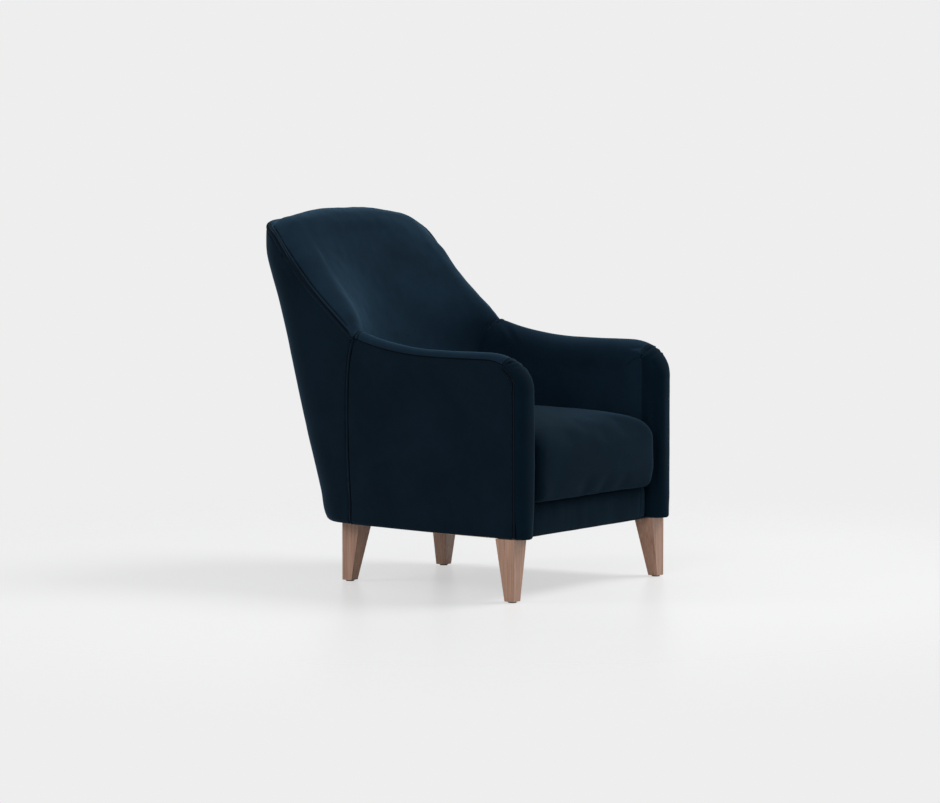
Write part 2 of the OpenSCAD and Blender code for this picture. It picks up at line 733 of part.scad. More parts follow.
// Front roll: rings up the front and round the bend to the cross seam
cross_seam_s = 1.67;
roll_rows = [0, 0.05, 0.25, 0.62, 1, 1.14, 1.28, 1.41, 1.54, cross_seam_s];
roll_end_z = bend_z + 38;
function roll_row(s, inner) =
    let (curve = [for (p = inner == 1 ? padded_section(s) : section(s)) on_profile(s, p)],
         e = curve[len(curve) - 1],
         x1 = inner_w/2 + 1 + inner*arm_pad_t,
         end = [x1, split_y, s <= 1 ? e.z : lerp(bend_z, roll_end_z, (s - 1)/(cross_seam_s - 1))])
    concat(curve, [for (k = [1:3]) lerp(e, end, k/3)]);
function roll_grid(inner) = [for (s = roll_rows) roll_row(s, inner)];
function turned(g) = [for (row = g) [for (j = [len(row) - 1:-1:0]) row[j]]];

// Inner side of a row: it lies on the arm's frame at the crest and is thin at the seam
function padded_section(s) =
    let (o = section(s), depth = pad_clear - 1, spare = 1.5, edge = o[0].x - panel_t - 7)
    [for (k = [0:len(o) - 1])
        k == 0 ? [edge, o[0].y]
        : [min(edge - 0.3*k, lerp(o[k].x, clamp(o[k].x, post_x0 - spare, post_x1 + spare), 0.9)),
           max(o[k].y, depth)]];

module arm_roll() {
    color(velvet) sheet(roll_grid(0), roll_grid(1));
}

module arm_pad() {
    color(velvet) sheet(arm_grid(0), arm_grid(1));
}

// Arm pad: from the cross seam over the top, and down the inside of the arm
arm_rows = [cross_seam_s, 1.78, 1.89, 2, 2.12, 2.25, 2.38, 2.5, 2.62, 2.73, 2.83, 2.92, 3];
arm_back_y = arm_corner_y(deck_z) + 19;
function arm_row(s, inner = 0) =
    let (f = (s - cross_seam_s)/(3 - cross_seam_s),
         flat = inner == 1 ? padded_section(s) : section(s),
         raw = [for (p = flat) on_profile(s, p)],
         skew = ease((s - 2.5)/0.5)*10,
         lean = profile_normal(s).x*ease(2*s - 5),
         curve = [for (k = [0:len(raw) - 1])
             raw[k] + [0, k < 4 ? lean*flat[k].y : skew*ease((k - 4)/6), 0]],
         e = curve[len(curve) - 1],
         x1 = inside_x + inner*arm_pad_t,
         foot = [x1, lerp(split_y, arm_back_y, f), deck_z + fit],
         w = lerp(1, 1/6, ease(4*f)) + 0.6*ease(5*f - 4),
         knee = [x1, lerp(e.y, foot.y, w), lerp(e.z - 30, roll_end_z, w == 1 ? 1 : 0)],
         n = 6)
    concat(curve, [for (k = [1:n]) let (t = (k - 1)/(n - 1))
        [x1, lerp(knee.y, foot.y, t), lerp(knee.z, foot.z, t)]]);
function seam_shift(s, k) =
    let (n = profile_normal(s)) fit*(1 - ease(2*(s - cross_seam_s)))
        *(k > 10 ? [0, 2, -2] : k == 10 ? [0, 1.2, -1.2] : [0, n.y, -n.x]);
function arm_grid(inner) = [for (s = arm_rows) let (row = arm_row(s, inner))
    [for (k = [0:len(row) - 1]) row[k] + seam_shift(s, k)]];

// Outside arm panel
panel_cols = concat([for (k = [0:4]) (1 - cos(22.5*k))*(bend_len - front_seam_set)/(junction_y - seam_y)],
                    [0.3, 0.42, 0.54, 0.66, 0.78, 0.89, 1]);
hem_rows = [0, 3, 8, 16];
function panel_y(c, z) = lerp(seam_y + 3*fit, back_seam_y(z) - fit, c);
function panel_top(c, z = bend_z, n = 10) = n == 0 ? z : panel_top(c, arm_seam_z(panel_y(c, z)), n - 1);
function rows_to(top, n) =
    concat([for (h = hem_rows) leg_h + h*hem_r/16], [for (k = [1:n]) lerp(leg_h + hem_r, top, k/n)]);
function panel_grid() =
    let (tops = [for (c = panel_cols) panel_top(c) - 2*fit],
         zs = [for (t = tops) rows_to(t, 7)])
    [for (k = [0:len(zs[0]) - 1]) [for (i = [0:len(panel_cols) - 1])
        let (z = zs[i][k], y = panel_y(panel_cols[i], z), v = (z - leg_h)/(tops[i] - leg_h))
        [side_x(y, z, 4*ease(8*v - 7)), y, z]]];

module arm_outside() {
    g = turned(panel_grid());
    color(velvet) sheet(g, offset_grid(g, panel_t));
}

// Outside back cover
back_half = [0, 0.05, 0.105, 0.16, 0.215, 0.27, 0.325, 0.38, 0.41, 0.44, 0.47, 0.5, 0.53, 0.56, 0.62, 0.68,
    0.74, 0.87, 1];
function back_column(q, sx) =
    let (top = rim_z(q) - fit, zs = rows_to(top, 7), y_fit = q == 0 ? fit : 0)
    [for (z = zs)
        let (v = (z - leg_h)/(top - leg_h), p = back_outline(q, z, rim_inset(q)*ease(9*v - 8)))
        [sx*p.x, p.y + y_fit, z]];
function back_grid() =
    let (n = len(back_half),
         cols = concat([for (q = back_half) back_column(q, 1)],
                       [for (k = [n - 2:-1:0]) back_column(back_half[k], -1)]))
    [for (r = [0:len(cols[0]) - 1]) [for (c = cols) c[r]]];

module outside_back() {
    g = turned(back_grid());
    color(velvet) sheet(g, offset_grid(g, panel_t));
}

// Inside back pad. Each row has a middle point, a turning point on the wing
// and a point on its outer seam.
crest_rear = 36;
crest_up = 43;
end_mid = [rear_top_y - 54, rear_seam_z - 34];       // the same at the crest's ends
end_up = 30;
seam_angle = 180 - asin((rear_seam_z - crest_mid.y)/crest_up);
low_z = [for (t = [0, 0.24, 0.445, 0.635, 0.825, 1]) lerp(deck_z + fit, arm_h - 44, t)];
rim_fit = 0.8;                                      // clearance over the rear seam
join_k = [10, 8, 6, 4, 2];                          // points of the arm's rear end that the pad meets
wing_q = [0.008, 0.05, 0.105, 0.16, 0.215, 0.27, 0.325, 0.38];
wing_mid_z = [for (t = [0.137, 0.23, 0.33, 0.44, 0.56, 0.69, 0.82, 0.93]) lerp(wing_z0, crest_mid.y, t)];
crest_a = [for (k = [1:6]) seam_angle*k/6];
crest_q = [0.41, 0.44, 0.47, 0.5, 0.53, 0.56];

function crest_point(a, front, up, rear, mid) =
    [mid.x - (a < 90 ? front : rear)*cos(a), mid.y + up*sin(a)];
function low_point(x, z) = [x, middle_y(z) - hollow(z)*pow(x/corner_x, 2.2), z];
function low_row(z) = concat([for (k = [0:6]) low_point(corner_x*0.93*k/6, z)],
                             [for (k = [1:4]) low_point(corner_x*lerp(0.93, 1, k/4), z)]);

// Row through a middle point c, a turning point t and a seam point s. The mix g
// runs from the hollow between the arms (0) to the wings (1), and m on to the crest.
function wide_row(c, t, s, m, bulge, g = 1) =
    concat([for (k = [0:6]) let (u = k/6, b = lerp(pow(u, 2.3), lerp(ease(pow(u, 1.25)), pow(u, 3), m), g))
        [t.x*u, lerp(c.x, t.y, b), lerp(c.y, t.z, b)]],
        [for (k = [1:4]) let (u = k/4, a = 90*u,
            line = lerp(t, s, u),
            round = [lerp(t.x, s.x, sin(a)), lerp(t.y, s.y, 1 - cos(a)), lerp(t.z, s.z, 1 - cos(a))])
            lerp(line, round, bulge)]);

// Rows that climb over the rear end of the arm
function join_row(i) =
    let (k = join_k[i], f = i/4,
         ring = arm_row(3), s = ring[k] + [0, 1, 0.5],
         z = lerp(arm_h - 6, wing_z0 + 26, f),
         tx = lerp(corner_x*0.94, crest_x - 25, f),
         low = low_point(corner_x*0.94, arm_h - 6),
         t = [tx, lerp(low.y, ring[4].y + 6, f), lerp(low.z, arm_h + 39, f)])
    wide_row([middle_y(z), z], t, s, 0, 0.35, ease(0.8*f));
function wing_row(k) =
    let (s = rim_point(wing_q[k]) + [0, 0.2, rim_fit], f = k/7,
         g = ease(3*f),
         t = s + [-lerp(36, 62, f), lerp(2, -16, g), lerp(25, 18, g)],
         z = wing_mid_z[k])
    wide_row([middle_y(z), z], t, s, ease(f - 0.2), 0.35);
function crest_row(k) =
    let (a = crest_a[k], f = (k + 1)/6,
         s = rim_point(crest_q[k]) + [0, 0, rim_fit],
         tx = lerp(seam_x - 67, seam_x - 82, f),
         e = rim_point(0.62), u = (a - 90)/(seam_angle - 90),
         te = a < 90 ? crest_point(a, 50, end_up, 0, end_mid)
            : lerp([end_mid.x, end_mid.y + end_up], [e.y, e.z], u) + [0, 2.5*sin(180*u)],
         t = [tx, te.x, te.y])
    k == 5
        ? concat([for (q = [1, 0.935, 0.87, 0.805, 0.74, 0.71, 0.68]) rim_point(q) + [0, 0, rim_fit]],
                 [for (j = [1:4]) rim_point(lerp(0.68, crest_q[5], j/4)) + [0, 0, rim_fit]])
        : wide_row(crest_point(a, crest_front, crest_up, crest_rear, crest_mid), t, s, 1, 0.35);
function back_half_grid() = concat(
    [for (z = low_z) low_row(z)], [for (i = [0:4]) join_row(i)],
    [for (k = [0:7]) wing_row(k)], [for (k = [0:5]) crest_row(k)]);

// The pad's rear surface: flat against the webbing, thin at the seams
function back_inner(g, i, j) =
    let (p = g[i][j], low = len(low_z), last = len(g) - 1,
         flat = [p.x*0.985, web_y(p.z) - web_gap, p.z],
         over = clamp((i - low)/3, 0, 1),
         drop = clamp((i - low - 2)/5, 0, 1),
         into = [0, 0.72, -0.69*drop]*(j < 7 ? 26 : [26, 24, 20, 14][j - 7]),
         core = [min(p.x*0.92, corner_x - 30), crest_mid.x - 30, crest_mid.y - 40],
         inward = core - p,
         middle = [-p.x, crest_mid.x - 210 - p.y, 0],
         level = middle/norm(middle))
    i < low ? flat
    : i == last ? p + (panel_t + 3)*level + [0, 0, 0.5]
    : i < low + 4 ? lerp(flat, j == len(g[0]) - 1 ? p + [-2, 10, -2] : p + [0, 12, 0],
                         ease((p.x - corner_x + 10)/20)*over)
    : j == len(g[0]) - 1 ? p + (panel_t + 3)*(i > low + 9 ? level : [-1, 0, 0])
                           + [0, 0, i > low + 9 ? 1 : -0.6]
    : i <= low + 12 ? lerp([p.x*0.97, max(web_y(p.z - 6*drop) - web_gap, p.y + 14), p.z - 6*drop],
                           p + into, ease((j - 4)/2))
    : p + min(30 - 2*max(j - 4, 0), 0.6*norm(inward))*inward/norm(inward);

module inside_back() {
    half = back_half_grid();
    inner = [for (i = [0:len(half) - 1]) [for (j = [0:len(half[0]) - 1]) back_inner(half, i, j)]];
    n = len(half[0]);
    function whole(g) = [for (row = g)
        concat([for (j = [n - 1:-1:1]) [-row[j].x, row[j].y, row[j].z]], row)];
    color(velvet) sheet(turned(whole(half)), turned(whole(inner)));
}

// Padded border under the cushion
module front_border() {
    w = inner_w/2 - 0.6;
    back = split_y;
    depth = back - border_y;
    section = [[0, 0], [0, 1], [0.55, 1], [0.85, 0.95], [0.97, 0.8], [1, 0.5], [0.97, 0.14], [0.85, 0.03],
        [0.6, 0]];
    xs = [for (k = [0:12]) w*sin(-90 + 15*k)];
    color(velvet)
        rings([for (x = xs) let (u = abs(x)/w, d = depth*(0.35 + 0.65*pow(max(1 - pow(u, 8), 0), 0.5)))
            [for (p = section)
                [x, back - d*p.x, leg_h + border_h*p.y - (p.y > 0.5 ? fit : 0)]]]);
}

// Seat cushion: rings from its underside over the sides to its crown
cushion_x = inner_w/2 - cushion_gap;
cushion_y0 = -body_d/2;
cushion_y1 = arm_corner_y(deck_z) - 4;
cushion_z0 = deck_z + fit;

// Rounded rectangle, inset from the cushion's full outline
function cushion_ring(inset, r, z, crown = 0) =
    let (a = cushion_x - inset, cy = (cushion_y0 + cushion_y1)/2, b = (cushion_y1 - cushion_y0)/2 - inset,
         corner = [for (k = [0:4]) [a - r + r*cos(22.5*k), b - r + r*sin(22.5*k)]],
         top = [for (k = [1:5]) [(a - r)*(1 - k/3), b]],
         right = [for (k = [-2:2]) [a, (b - r)*k/3]],
         half = concat(right, corner, top, [for (k = [4:-1:0]) [-corner[k].x, corner[k].y]]),
         whole = concat(half, [for (p = half) [-p.x, -p.y]]))
    [for (p = whole) [p.x, cy + p.y, z + crown*(1 - pow(p.x/cushion_x, 2))]];
cushion_rows = [[64, 50, 0], [24, 24, 0], [8, 22, 8], [2, 24, 34], [0, 26, 80], [1, 28, 118], [5, 32, 141],
    [13, 38, 157], [28, 48, 170], [52, 62, 180], [92, 84, 188], [150, 100, 195]];
cushion_rise = 198;

module cushion_form() {
    h = seat_h - cushion_z0;
    rings([for (r = cushion_rows) cushion_ring(r[0], r[1], cushion_z0 + h*r[2]/cushion_rise)]);
}

module seat_cushion() {
    color(velvet)
        difference() {
            cushion_form();
            cushion_pocket(0);
        }
}

// The space of the foam core inside the cover
module cushion_pocket(clear) {
    side = 40;
    x = cushion_x - side - clear;
    y0 = cushion_y0 + side + clear;
    y1 = cushion_y1 - side - clear;
    translate([-x, y0, cushion_z0 + cover_t + clear])
        cube([2*x, y1 - y0, seat_h - cushion_z0 - 46 - cover_t - 2*clear]);
}

module cushion_core() { color(foam) cushion_pocket(fit); }

module cushion_zip() {
    w = 2*cushion_x - 120;
    color(steel)
        translate([-w/2, cushion_y1 + 0.2, cushion_z0 + 62])
            cube([w, 3, 6]);
}

seat_front_rail();
seat_rear_rail();
mirror([1, 0, 0]) seat_side_rail();  // seat_side_rail_left
seat_side_rail();  // seat_side_rail_right
rear_corner_blocks();
front_glue_blocks();
mirror([1, 0, 0]) arm_front_post();  // arm_front_post_left
arm_front_post();  // arm_front_post_right
mirror([1, 0, 0]) arm_rear_post();  // arm_rear_post_left
arm_rear_post();  // arm_rear_post_right
mirror([1, 0, 0]) arm_rail();  // arm_rail_left
arm_rail();  // arm_rail_right
mirror([1, 0, 0]) arm_tack_rail();  // arm_tack_rail_left
arm_tack_rail();  // arm_tack_rail_right
mirror([1, 0, 0]) back_post();  // back_post_left
back_post();  // back_post_right
back_top_rail();
back_middle_rail();
back_tack_rail();
mirror([1, 0, 0]) wing_board();  // wing_board_left
wing_board();  // wing_board_right
mirror([1, 0, 0]) webbing_batten();  // webbing_batten_left
webbing_batten();  // webbing_batten_right
back_webbing();
seat_springs();
spring_clips();
deck_pad();
mirror([1, 0, 0]) arm_roll();  // arm_roll_left
arm_roll();  // arm_roll_right
mirror([1, 0, 0]) arm_pad();  // arm_pad_left
arm_pad();  // arm_pad_right
mirror([1, 0, 0]) arm_outside();  // arm_outside_left
arm_outside();  // arm_outside_right
outside_back();
inside_back();
front_border();
dust_cover();
seat_cushion();
cushion_core();
cushion_zip();
leg_front_left();
leg_front_right();
leg_rear_left();
leg_rear_right();
leg_glides();
leg_bolts();
leg_tee_nuts();
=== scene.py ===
"""Looks of the upholstered armchair: velvet covers with felled seams, a swollen
seat cushion and walnut legs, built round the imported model's frame."""
import math
import bpy
import numpy as np
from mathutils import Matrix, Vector, kdtree
from mathutils.bvhtree import BVHTree


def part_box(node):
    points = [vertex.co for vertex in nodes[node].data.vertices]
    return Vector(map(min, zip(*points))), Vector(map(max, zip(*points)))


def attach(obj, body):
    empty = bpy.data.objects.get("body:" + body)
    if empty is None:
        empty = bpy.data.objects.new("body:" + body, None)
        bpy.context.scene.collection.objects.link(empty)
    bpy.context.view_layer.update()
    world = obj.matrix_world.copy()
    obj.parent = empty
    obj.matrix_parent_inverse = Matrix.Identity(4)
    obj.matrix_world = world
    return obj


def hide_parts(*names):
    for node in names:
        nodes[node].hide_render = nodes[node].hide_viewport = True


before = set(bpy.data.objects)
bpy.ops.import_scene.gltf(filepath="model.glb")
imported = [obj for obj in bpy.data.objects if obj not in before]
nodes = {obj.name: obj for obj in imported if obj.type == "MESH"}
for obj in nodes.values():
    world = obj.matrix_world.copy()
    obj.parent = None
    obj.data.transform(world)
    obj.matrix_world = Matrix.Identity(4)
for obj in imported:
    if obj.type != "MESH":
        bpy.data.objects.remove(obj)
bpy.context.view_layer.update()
scene = bpy.context.scene

# Sizes of the chair in millimetres, the same as in the part's source

INNER_W, ARM_W, ARM_H, BACK_H, SEAT_H, LEG_H = 532, 68, 588, 911, 428, 150
BEND_LEN, BEND_DROP, ARM_RISE, RISE_START, ARM_END_SET = 110, 80, 39, 209, 40
FRONT_SEAM, TOP_SEAM = 23, 15
BACK_LEAN, CORNER_R, LOW_TAPER, TOP_TAPER = math.radians(11.25), 105, 70, 5
HEM_R, REAR_SEAM, RIM_TUCK, REAR_CROWN = 16, 22, 9, 6
SEAT_DEPTH, BASE_RUN, BACK_PAD, CREST_FRONT = 541, 133, 45, 60.5
BORDER_H, BORDER_SET, CUSHION_PROUD, CUSHION_GAP, COVER_T = 79, 31, 3, 4, 12
WIRE_D, SPRING_W, SPRING_PITCH, SPRINGS, STRAP_W, STRAPS = 3.8, 50, 26, 5, 50, 6
FIT, RIM_FIT = 0.4, 0.8
SIDE_SHARE, CORNER_SHARE, CROSS_S = 0.38, 0.74, 1.67

rear_seam_z = BACK_H - REAR_SEAM
top_run = math.tan(BACK_LEAN)*(rear_seam_z - LEG_H)
body_d = CUSHION_PROUD + SEAT_DEPTH + BASE_RUN + top_run - RIM_TUCK
arm_front = -body_d/2 + CUSHION_PROUD
arm_len = SEAT_DEPTH - ARM_END_SET
seam_y = arm_front + FRONT_SEAM
junction_y = arm_front + arm_len
bend_y = arm_front + BEND_LEN
bend_z = ARM_H - BEND_DROP
border_y = arm_front + BORDER_SET
split_y = arm_front + 57
rear_base_y = arm_front + SEAT_DEPTH + BASE_RUN
rear_top_y = rear_base_y + top_run
roll_x = INNER_W/2 + ARM_W/2
crest_x = roll_x + 9
seam_x = INNER_W/2 + ARM_W - 2
inside_x = INNER_W/2 + 2
corner_x = inside_x - FIT
deck_z = LEG_H + BORDER_H
wing_z0 = ARM_H + ARM_RISE - TOP_SEAM - 4
wing_z1 = BACK_H - 66
wing_run = rear_top_y - junction_y - 92
roll_end_z = bend_z + 38
crest_mid = (rear_top_y - 40, BACK_H - 43)
inner_run = crest_mid[0] - CREST_FRONT - arm_front - SEAT_DEPTH


def clamp(v, lo, hi):
    return min(max(v, lo), hi)


def lerp(a, b, t):
    return a + (b - a)*t


def ease(t):
    u = np.clip(t, 0, 1)
    return u*u*(3 - 2*u)


def smooth_min(a, b, k):
    h = max(k - abs(a - b), 0)/k
    return min(a, b) - h*h*k/4


def vec(*p):
    return np.array(p, float)


# Outline of the shell

def rear_y(z):
    return rear_base_y + math.tan(BACK_LEAN)*(z - LEG_H)


def taper(z):
    t = clamp((z - LEG_H - 50)/(BACK_H - LEG_H - 50), 0, 1)
    return lerp(LOW_TAPER, TOP_TAPER, 1 - (1 - t)**2)


def along(y, z):
    return (y - seam_y)/(rear_y(z) - seam_y)


def hem(z):
    h = clamp(HEM_R - (z - LEG_H), 0, HEM_R)
    return HEM_R - math.sqrt(HEM_R*HEM_R - h*h)


def side_x(y, z, inset=0):
    u = along(y, z)
    return seam_x - taper(z)*u*u - hem(z)*(0.2 + 0.8*u) - inset


def back_seam_y(z):
    t = clamp((z - LEG_H)/(wing_z0 - LEG_H), 0, 1)
    return junction_y + 36 - 16*t - 20*t**6


def back_outline(q, z, inset=0):
    ry = rear_y(z) - hem(z) - inset
    y1 = ry - CORNER_R
    x1 = side_x(y1, z, inset)
    x3 = x1 - CORNER_R*0.98
    if q <= SIDE_SHARE:
        y = lerp(back_seam_y(z), y1, q/SIDE_SHARE)
        return vec(side_x(y, z, inset), y)
    if q <= CORNER_SHARE:
        lean = -2*taper(z)*along(y1, z)/(rear_y(z) - seam_y)
        k = 0.56*CORNER_R
        t = (q - SIDE_SHARE)/(CORNER_SHARE - SIDE_SHARE)
        p = [vec(x1, y1), vec(x1 + k*lean, y1 + k),
             vec(x3 + k, ry - REAR_CROWN - k*2*REAR_CROWN/x3), vec(x3, ry - REAR_CROWN)]
        return (1 - t)**3*p[0] + 3*t*(1 - t)**2*p[1] + 3*t*t*(1 - t)*p[2] + t**3*p[3]
    x = x3*(1 - (q - CORNER_SHARE)/(1 - CORNER_SHARE))
    return vec(x, ry - REAR_CROWN*(x/x3)**2)


def crest_z(y):
    if y < bend_y:
        return bend_z + BEND_DROP*math.sqrt(max(1 - ((y - bend_y)/BEND_LEN)**2, 0))
    return ARM_H + ARM_RISE*max((y - arm_front - RISE_START)/(arm_len - RISE_START), 0)**2.6


def arm_seam_z(y):
    if y < bend_y:
        return bend_z + (BEND_DROP - TOP_SEAM)*math.sqrt(
            max(1 - ((y - bend_y)/(BEND_LEN - FRONT_SEAM))**2, 0))
    return crest_z(y) - TOP_SEAM - 4*(crest_z(y) - ARM_H)/ARM_RISE


def wing_seam_z(y):
    t = (y - junction_y)/wing_run
    return wing_z0 + (wing_z1 - wing_z0)*(0.8*t + 0.2*max(t, 0)**5)


def rear_rim_z(x):
    return rear_seam_z - 56*(abs(x)/(seam_x - 2))**8


def rim_inset(q):
    return lerp(3, RIM_TUCK, ease(q/SIDE_SHARE))


def rim_z(q):
    z = wing_z1
    for _ in range(12):
        p = back_outline(q, z, rim_inset(q))
        z = smooth_min(wing_seam_z(p[1]), rear_rim_z(p[0]), 30)
    return z


def rim_point(q):
    z = rim_z(q)
    p = back_outline(q, z, rim_inset(q))
    return vec(p[0], p[1], z)


# Inside back's middle profile

def soft_step(d, w):
    return (d + math.sqrt(d*d + w*w))/2


def middle_y(z):
    share = soft_step(z - LEG_H - 250, 90)/soft_step(crest_mid[1] - LEG_H - 250, 90)
    return arm_front + SEAT_DEPTH + inner_run*share


def hollow(z):
    return 13 + 77*clamp((z - deck_z)/(ARM_H - deck_z), 0, 1.05)**2.9


def web_y(z):
    return middle_y(z) + BACK_PAD + 1


arm_back_y = middle_y(deck_z) - hollow(deck_z) + 19


# Arms: s runs 0 to 1 up the front, 1 to 2 round the bend and 2 to 3 along the top

GATHER_S, GATHER = 1.35, (-11.5, 11.7)


def profile_point(s):
    if s <= 1:
        return vec(arm_front, lerp(LEG_H, bend_z, s))
    if s <= 2:
        a = math.pi/2*(s - 1)
        return vec(bend_y - BEND_LEN*math.cos(a), bend_z + BEND_DROP*math.sin(a))
    y = lerp(bend_y, junction_y, s - 2)
    return vec(y, crest_z(y))


def profile_normal(s):
    d = profile_point(s + 0.002) - profile_point(s - 0.002)
    return vec(-d[1], d[0])/np.linalg.norm(d)


def section_point(s, t):
    """t runs 0 to 4 from the outer seam to the crest, and 4 to 10 down the inner side."""
    b = ease(s - 1)
    low = 1 - 0.06*ease(1 - 4*s)
    cx = lerp(roll_x, crest_x, b) - 9*ease((s - 2.4)/0.6)
    y, z = profile_point(s)
    ao = (min(seam_x + 2, side_x(y, z - 20) + 2) - cx)*low
    ho, hi = lerp(ARM_W/2, 37, b), lerp(ARM_W/2, 46, b)
    ds = lerp(FRONT_SEAM, TOP_SEAM + 4*max(z - ARM_H, 0)/ARM_RISE, b)
    if t <= 4:
        a = lerp(math.asin(1 - ds/ho), math.pi/2, t/4)
        return vec(cx + ao*math.cos(a), ho*(1 - math.sin(a)))
    a = math.pi/2*(1 - (t - 4)/6)
    return vec(cx - (cx - INNER_W/2)*low*math.cos(a), hi*(1 - math.sin(a)))


def on_profile(s, p):
    c, n = profile_point(s), profile_normal(s)
    return vec(p[0], c[0] - n[0]*p[1], c[1] - n[1]*p[1])


def gathered(s, t, p):
    """Near its inner end the cross seam is drawn up to where the roll ends."""
    share = ease((t - 7)/3)*ease((s - GATHER_S)/(CROSS_S - GATHER_S))*(1 - ease((s - CROSS_S)/0.3))
    return p + share*vec(0, *GATHER)


def roll_point(s, t):
    """t up to 10 goes over the roll, and on to 13 back to where its inner side ends."""
    if t <= 10:
        return gathered(s, t, on_profile(s, section_point(s, t)))
    e = gathered(s, 10, on_profile(s, section_point(s, 10)))
    z = e[2] if s <= 1 else lerp(bend_z, roll_end_z, (s - 1)/(CROSS_S - 1))
    return lerp(e, vec(INNER_W/2 + 1, split_y, z), (t - 10)/3)


def arm_point(s, t):
    """t up to 10 goes over the arm, and on to 16 down its inner side."""
    f = (s - CROSS_S)/(3 - CROSS_S)
    n = profile_normal(s)
    near = FIT*(1 - ease(2*(s - CROSS_S)))
    flat = section_point(s, min(t, 10))
    e = on_profile(s, flat)
    if t < 4:
        e[1] += n[0]*ease(2*s - 5)*flat[1]
    else:
        e[1] += ease((s - 2.5)/0.5)*10*ease((min(t, 10) - 4)/6)
    e = gathered(s, min(t, 10), e)
    if t <= 10:
        return e + near*lerp(vec(0, n[1], -n[0]), vec(0, 1.2, -1.2), clamp(t - 9, 0, 1))
    foot = vec(inside_x, lerp(split_y, arm_back_y, f), deck_z + FIT)
    w = lerp(1, 1/6, ease(4*f)) + 0.6*ease(5*f - 4)
    knee = vec(inside_x, lerp(e[1], foot[1], w),
               lerp(e[2] - 30, roll_end_z, clamp(2.5*w - 1.5, 0, 1)))
    p = lerp(e, knee, t - 10) if t < 11 else lerp(knee, foot, (t - 11)/5)
    return p + near*lerp(vec(0, 1.2, -1.2), vec(0, 2, -2), clamp(t - 10, 0, 1))


# Inside back, each row from the middle (c = 0) out to its seam (c = 10)

CREST_UP, CREST_REAR, END_UP = 43, 36, 32
end_mid = (rear_top_y - 46, rear_seam_z - 34)
seam_angle = math.pi - math.asin((rear_seam_z - crest_mid[1])/CREST_UP)
WING_Q = [0.008, 0.05, 0.105, 0.16, 0.215, 0.27, 0.325, 0.38]
WING_Z = [lerp(wing_z0, crest_mid[1], t)
          for t in (0.137, 0.23, 0.33, 0.44, 0.56, 0.69, 0.82, 0.93)]
CREST_Q = [0.41, 0.44, 0.47, 0.5, 0.53, 0.56]
TOP_Q = [1, 0.935, 0.87, 0.805, 0.74, 0.71, 0.68, 0.65, 0.62, 0.59, 0.56]
LOW_Z = [lerp(deck_z + FIT, ARM_H - 44, t) for t in (0, 0.24, 0.445, 0.635, 0.825, 1)]


def low_point(x, z):
    return vec(x, middle_y(z) - hollow(z)*(x/corner_x)**1.9, z)


def seat_point(k, c):
    return low_point(corner_x*(0.93*c/6 if c <= 6 else lerp(0.93, 1, (c - 6)/4)), LOW_Z[k])


def wide_row(mid, t, s, m, g, c, bulge=0.35):
    """Point c of a row that runs from mid out to t and turns over to the seam at s."""
    if c <= 6:
        u = c/6
        b = lerp(u**1.9, lerp(u**1.8, u**2.6, m), g)
        return vec(t[0]*u, lerp(mid[0], t[1], b), lerp(mid[1], t[2], b))
    u = (c - 6)/4
    a = math.pi/2*u
    bow = vec(lerp(t[0], s[0], math.sin(a)),
              *(lerp(t[k], s[k], 1 - math.cos(a)) for k in (1, 2)))
    return lerp(lerp(t, s, u), bow, bulge)


def join_point(k, c):
    f = k/4
    s = arm_point(3, 10 - 2*k) + vec(0, 1, 0.5)
    z = lerp(ARM_H - 6, wing_z0 + 26, f)
    low = low_point(corner_x*0.94, ARM_H - 6)
    t = vec(lerp(corner_x*0.94, crest_x - 25, f), lerp(low[1], arm_point(3, 4)[1] + 6, f),
            lerp(low[2], ARM_H + 39, f))
    return wide_row((middle_y(z), z), t, s, 0, ease(0.8*f), c)


def wing_point(k, c):
    f = k/7
    g = ease(3*f)
    s = rim_point(WING_Q[k]) + vec(0, 0.2, RIM_FIT)
    t = s + vec(-lerp(36, 56, f), lerp(2, -16, g), lerp(19, 24, f))
    return wide_row((middle_y(WING_Z[k]), WING_Z[k]), t, s, ease(f - 0.2), 1, c, lerp(0.35, 0.8, f))


def round_point(a, front, up, rear, mid):
    return vec(mid[0] - (front if a < math.pi/2 else rear)*math.cos(a), mid[1] + up*math.sin(a))


def crest_point(k, c):
    f = (k + 1)/6
    a = seam_angle*f
    if k == 5:
        return rim_point(TOP_Q[c]) + vec(0, 0, RIM_FIT)
    s = rim_point(CREST_Q[k]) + vec(0, 0, RIM_FIT)
    u = (a - math.pi/2)/(seam_angle - math.pi/2)
    te = (round_point(a, 50, END_UP, 0, end_mid) if u < 0 else
          lerp(vec(end_mid[0], end_mid[1] + END_UP), rim_point(0.62)[1:], u)
          + vec(0, 2.5*math.sin(math.pi*u)))
    t = vec(lerp(seam_x - 72, seam_x - 90, f), te[0], te[1])
    return wide_row(round_point(a, CREST_FRONT, CREST_UP, CREST_REAR, crest_mid), t, s, 1, 1, c)


def squarer(g):
    """The back's upper corners stand a little further to the rear."""
    x, y, z = abs(g[..., 0]), g[..., 1], g[..., 2]
    back = 8*ease((z - 690)/140)*ease((x - 190)/80)*ease((y - 270)/60)
    return np.stack([g[..., 0], y + back, z], -1)


def inside_back_grid():
    half = np.array([[point(k, c) for c in range(11)] for point, rows in (
        (seat_point, 6), (join_point, 5), (wing_point, 8), (crest_point, 6)) for k in range(rows)])
    return squarer(np.concatenate([half[:, :0:-1]*[-1, 1, 1], half], axis=1))


